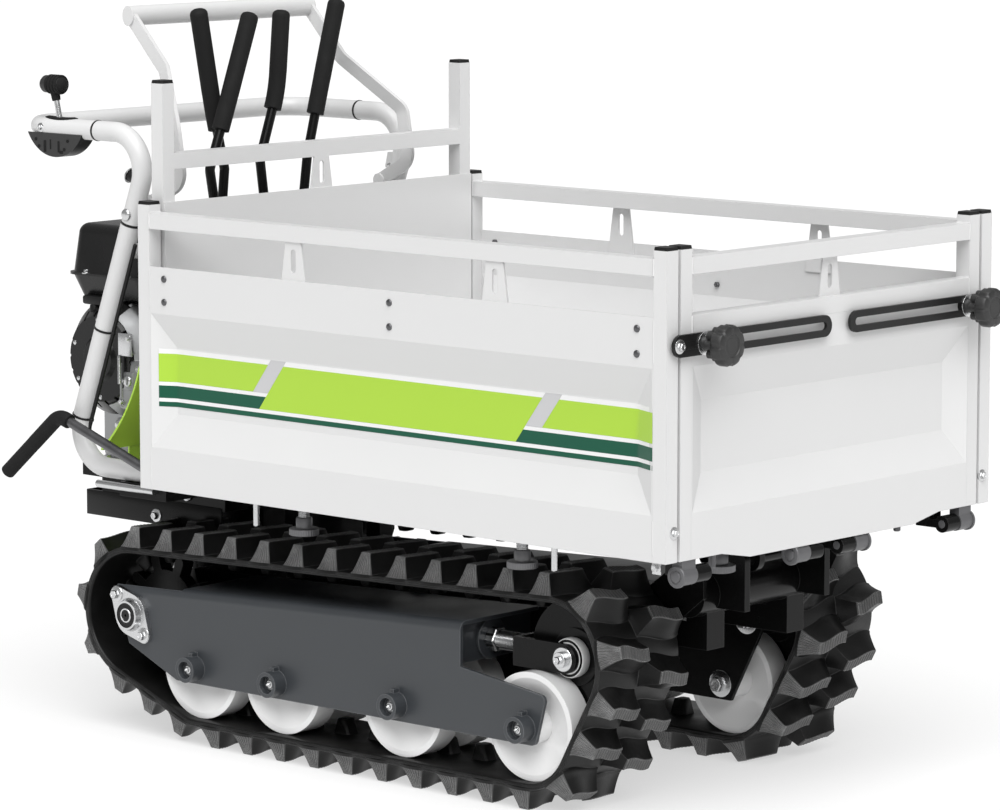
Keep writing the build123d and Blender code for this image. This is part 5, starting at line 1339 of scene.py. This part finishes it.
# %% Starter grip, caps and filter ribs
engine_dark = bmesh.new()
grip_place = fan_face + Vector((-0.032, 0.026, 0.086))
soft_blocks(engine_dark, grip_place, [((-0.022, -0.008, -0.002), (0.022, 0.008, 0.013), 0.004)])
grip_neck = [(0, -0.012), (0.0085, -0.012), (0.0080, -0.004), (0.0058, 0.002), (0, 0.002)]
turn_shape(engine_dark, grip_neck, grip_place, (0, 0, 1))
cap_place = ((tank_low.x + tank_high.x) / 2, (tank_low.y + tank_high.y) / 2, tank_high.z - 0.0150)
cap_top = [(0, 0.0126), (0.0220, 0.0126), (0.0205, 0.0152), (0.0090, 0.0160), (0, 0.0160)]
knurled(engine_dark, cap_place, (0, 0, 1), 0.0292, 0.0128, 22, 0.0014)
turn_shape(engine_dark, cap_top, cap_place, (0, 0, 1), sides=32)
plug_place = Vector((head_high.x, head_y, fan_z - 0.035))
plug_cap = [(0, 0.026), (0.0088, 0.026), (0.0094, 0.032), (0.0094, 0.050), (0.0070, 0.055), (0, 0.055)]
turn_shape(engine_dark, plug_cap, plug_place, (1, 0, 0))
knurled(engine_dark, (head_low.x + 0.0005, -0.112, 0.452), (-1, 0, 0), 0.0135, 0.0110, 14, 0.0012)
filter_low, filter_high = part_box("air_filter")
filter_margin, filter_ribs = 0.020, 5
for i in range(filter_ribs):
    x = filter_low.x + filter_margin + i * (filter_high.x - filter_low.x - 2 * filter_margin) / (filter_ribs - 1)
    soft_block(engine_dark, (x - 0.0025, filter_high.y - 0.0010, filter_low.z + filter_margin),
               (x + 0.0025, filter_high.y + 0.0030, filter_high.z - filter_margin), 0.0012)
make_piece("engine_plastics", engine_dark, black_plastic, "chassis")

# %% [markdown]
# Bare alloy and steel parts close the engine: the spark plug, the filter's wing nut, the silencer's heat shield of
# slats on two posts, its outlet and the round rear cover.

# %% Spark plug, wing nut, heat shield and rear cover
plug = bmesh.new()
plug_hexagon = [(0, -0.001), (0.0105, -0.001), (0.0105, 0.0080), (0.0098, 0.0090), (0, 0.0090)]
plug_body = [(0.0066, 0.0088), (0.0066, 0.0160), (0.0056, 0.0180), (0.0064, 0.0200), (0.0054, 0.0220),
             (0.0054, 0.0270), (0, 0.0270)]
turn_shape(plug, plug_hexagon, plug_place, (1, 0, 0), sides=6)
turn_shape(plug, plug_body, plug_place, (1, 0, 0), sides=20)
wing_place = Vector(((filter_low.x + filter_high.x) / 2, filter_high.y, filter_high.z - 0.030))
wing_hub = [(0, -0.001), (0.0090, -0.001), (0.0080, 0.0060), (0.0050, 0.0085), (0, 0.0085)]
turn_shape(plug, wing_hub, wing_place, (0, 1, 0))
soft_blocks(plug, wing_place, [((x - 0.0060, 0.0020, -0.0015), (x + 0.0060, 0.0120, 0.0015), 0.0008)
                               for x in (-0.0105, 0.0105)])
muffler_low, muffler_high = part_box("muffler")
shield_y, shield_inset, slat_margin, slats = muffler_high.y, 0.012, 0.026, 7
for i in range(slats):
    z = muffler_low.z + slat_margin + i * (muffler_high.z - muffler_low.z - 2 * slat_margin) / (slats - 1)
    soft_block(plug, (muffler_low.x + shield_inset, shield_y + 0.0050, z - 0.0045),
               (muffler_high.x - shield_inset, shield_y + 0.0066, z + 0.0045), 0.0007)
for x in (muffler_low.x + shield_inset, muffler_high.x - 0.020):
    soft_block(plug, (x, shield_y - 0.0010, muffler_low.z + 0.016),
               (x + 0.008, shield_y + 0.0056, muffler_high.z - 0.016), 0.0008)
outlet = [(0.0070, -0.002), (0.0100, -0.002), (0.0100, 0.0180), (0.0092, 0.0200), (0.0070, 0.0200)]
turn_shape(plug, outlet, ((muffler_low.x + muffler_high.x) / 2, shield_y - 0.030, muffler_high.z), (0, 0, 1), sides=28)
rear_cover = [(0, -0.001), (0.0540, -0.001), (0.0540, 0.0040), (0.0515, 0.0060), (0.0400, 0.0060), (0.0360, 0.0092),
              (0.0150, 0.0100), (0, 0.0100)]
turn_shape(plug, rear_cover, (head_low.x, head_y, head_z), (-1, 0, 0), sides=48)
make_piece("engine_fittings", plug, cast_alloy, "chassis")

# %% [markdown]
# ## Weld beads
# The box frame is welded from square tube before it is painted. Each joint of a rail with a post has a bead: a thin
# rope of overlapping drops. A bead here is a tube whose radius swells and shrinks along a line.

# %% Weld beads on the side walls
ripple = 0.0012


def weld_bead(mesh_tool, start, end, radius):
    """A rippled bead between two points."""
    start, end = Vector(start), Vector(end)
    length = (end - start).length
    count = max(6, int(length / ripple))
    ripples = [(radius * (0.82 + 0.22 * abs(math.sin(i * math.pi / 2))), length * i / count) for i in range(count + 1)]
    turn_shape(mesh_tool, [(0, 0)] + ripples + [(0, length)], start, end - start, sides=10)


rail_low, rail_high = frame_high.z - 0.037, frame_high.z - 0.012
seam_y, stay_y = box_side - 0.0005, box_side - 0.0025
for wall_name, side in sides:
    beads = bmesh.new()
    outer, inner = side * box_side, side * (box_side - tube)
    for x in (box_rear + tube, box_front - tube):
        for z in (rail_low, rail_high):
            weld_bead(beads, (x, inner, z), (x, outer, z), 0.0016)
        for y in (outer, inner):
            weld_bead(beads, (x, y, rail_low), (x, y, rail_high), 0.0016)
        for low, high in ((0.010, 0.060), (0.285, 0.345)):
            weld_bead(beads, (x, side * seam_y, box_bottom + low), (x, side * seam_y, box_bottom + high), 0.0013)
    for x in (box_front - 0.328, box_rear + 0.334):
        weld_bead(beads, (x - 0.016, side * stay_y, rail_low), (x + 0.016, side * stay_y, rail_low), 0.0015)
    make_piece(f"weld_beads_{wall_name}", beads, white_powder_coat, f"side_{wall_name}")

# %% Weld beads on the gate
post_y = 0.329
gate_rails = ((rail_low, rail_high), (box_bottom + 0.325, box_bottom + 0.350))
gate_beads = bmesh.new()
for y in (-post_y, post_y):
    for low, high in gate_rails:
        for z in (low, high):
            weld_bead(gate_beads, (box_front - tube, y, z), (box_front, y, z), 0.0016)
        weld_bead(gate_beads, (box_front, y, low), (box_front, y, high), 0.0015)
make_piece("weld_beads_gate", gate_beads, white_powder_coat, "front_gate")
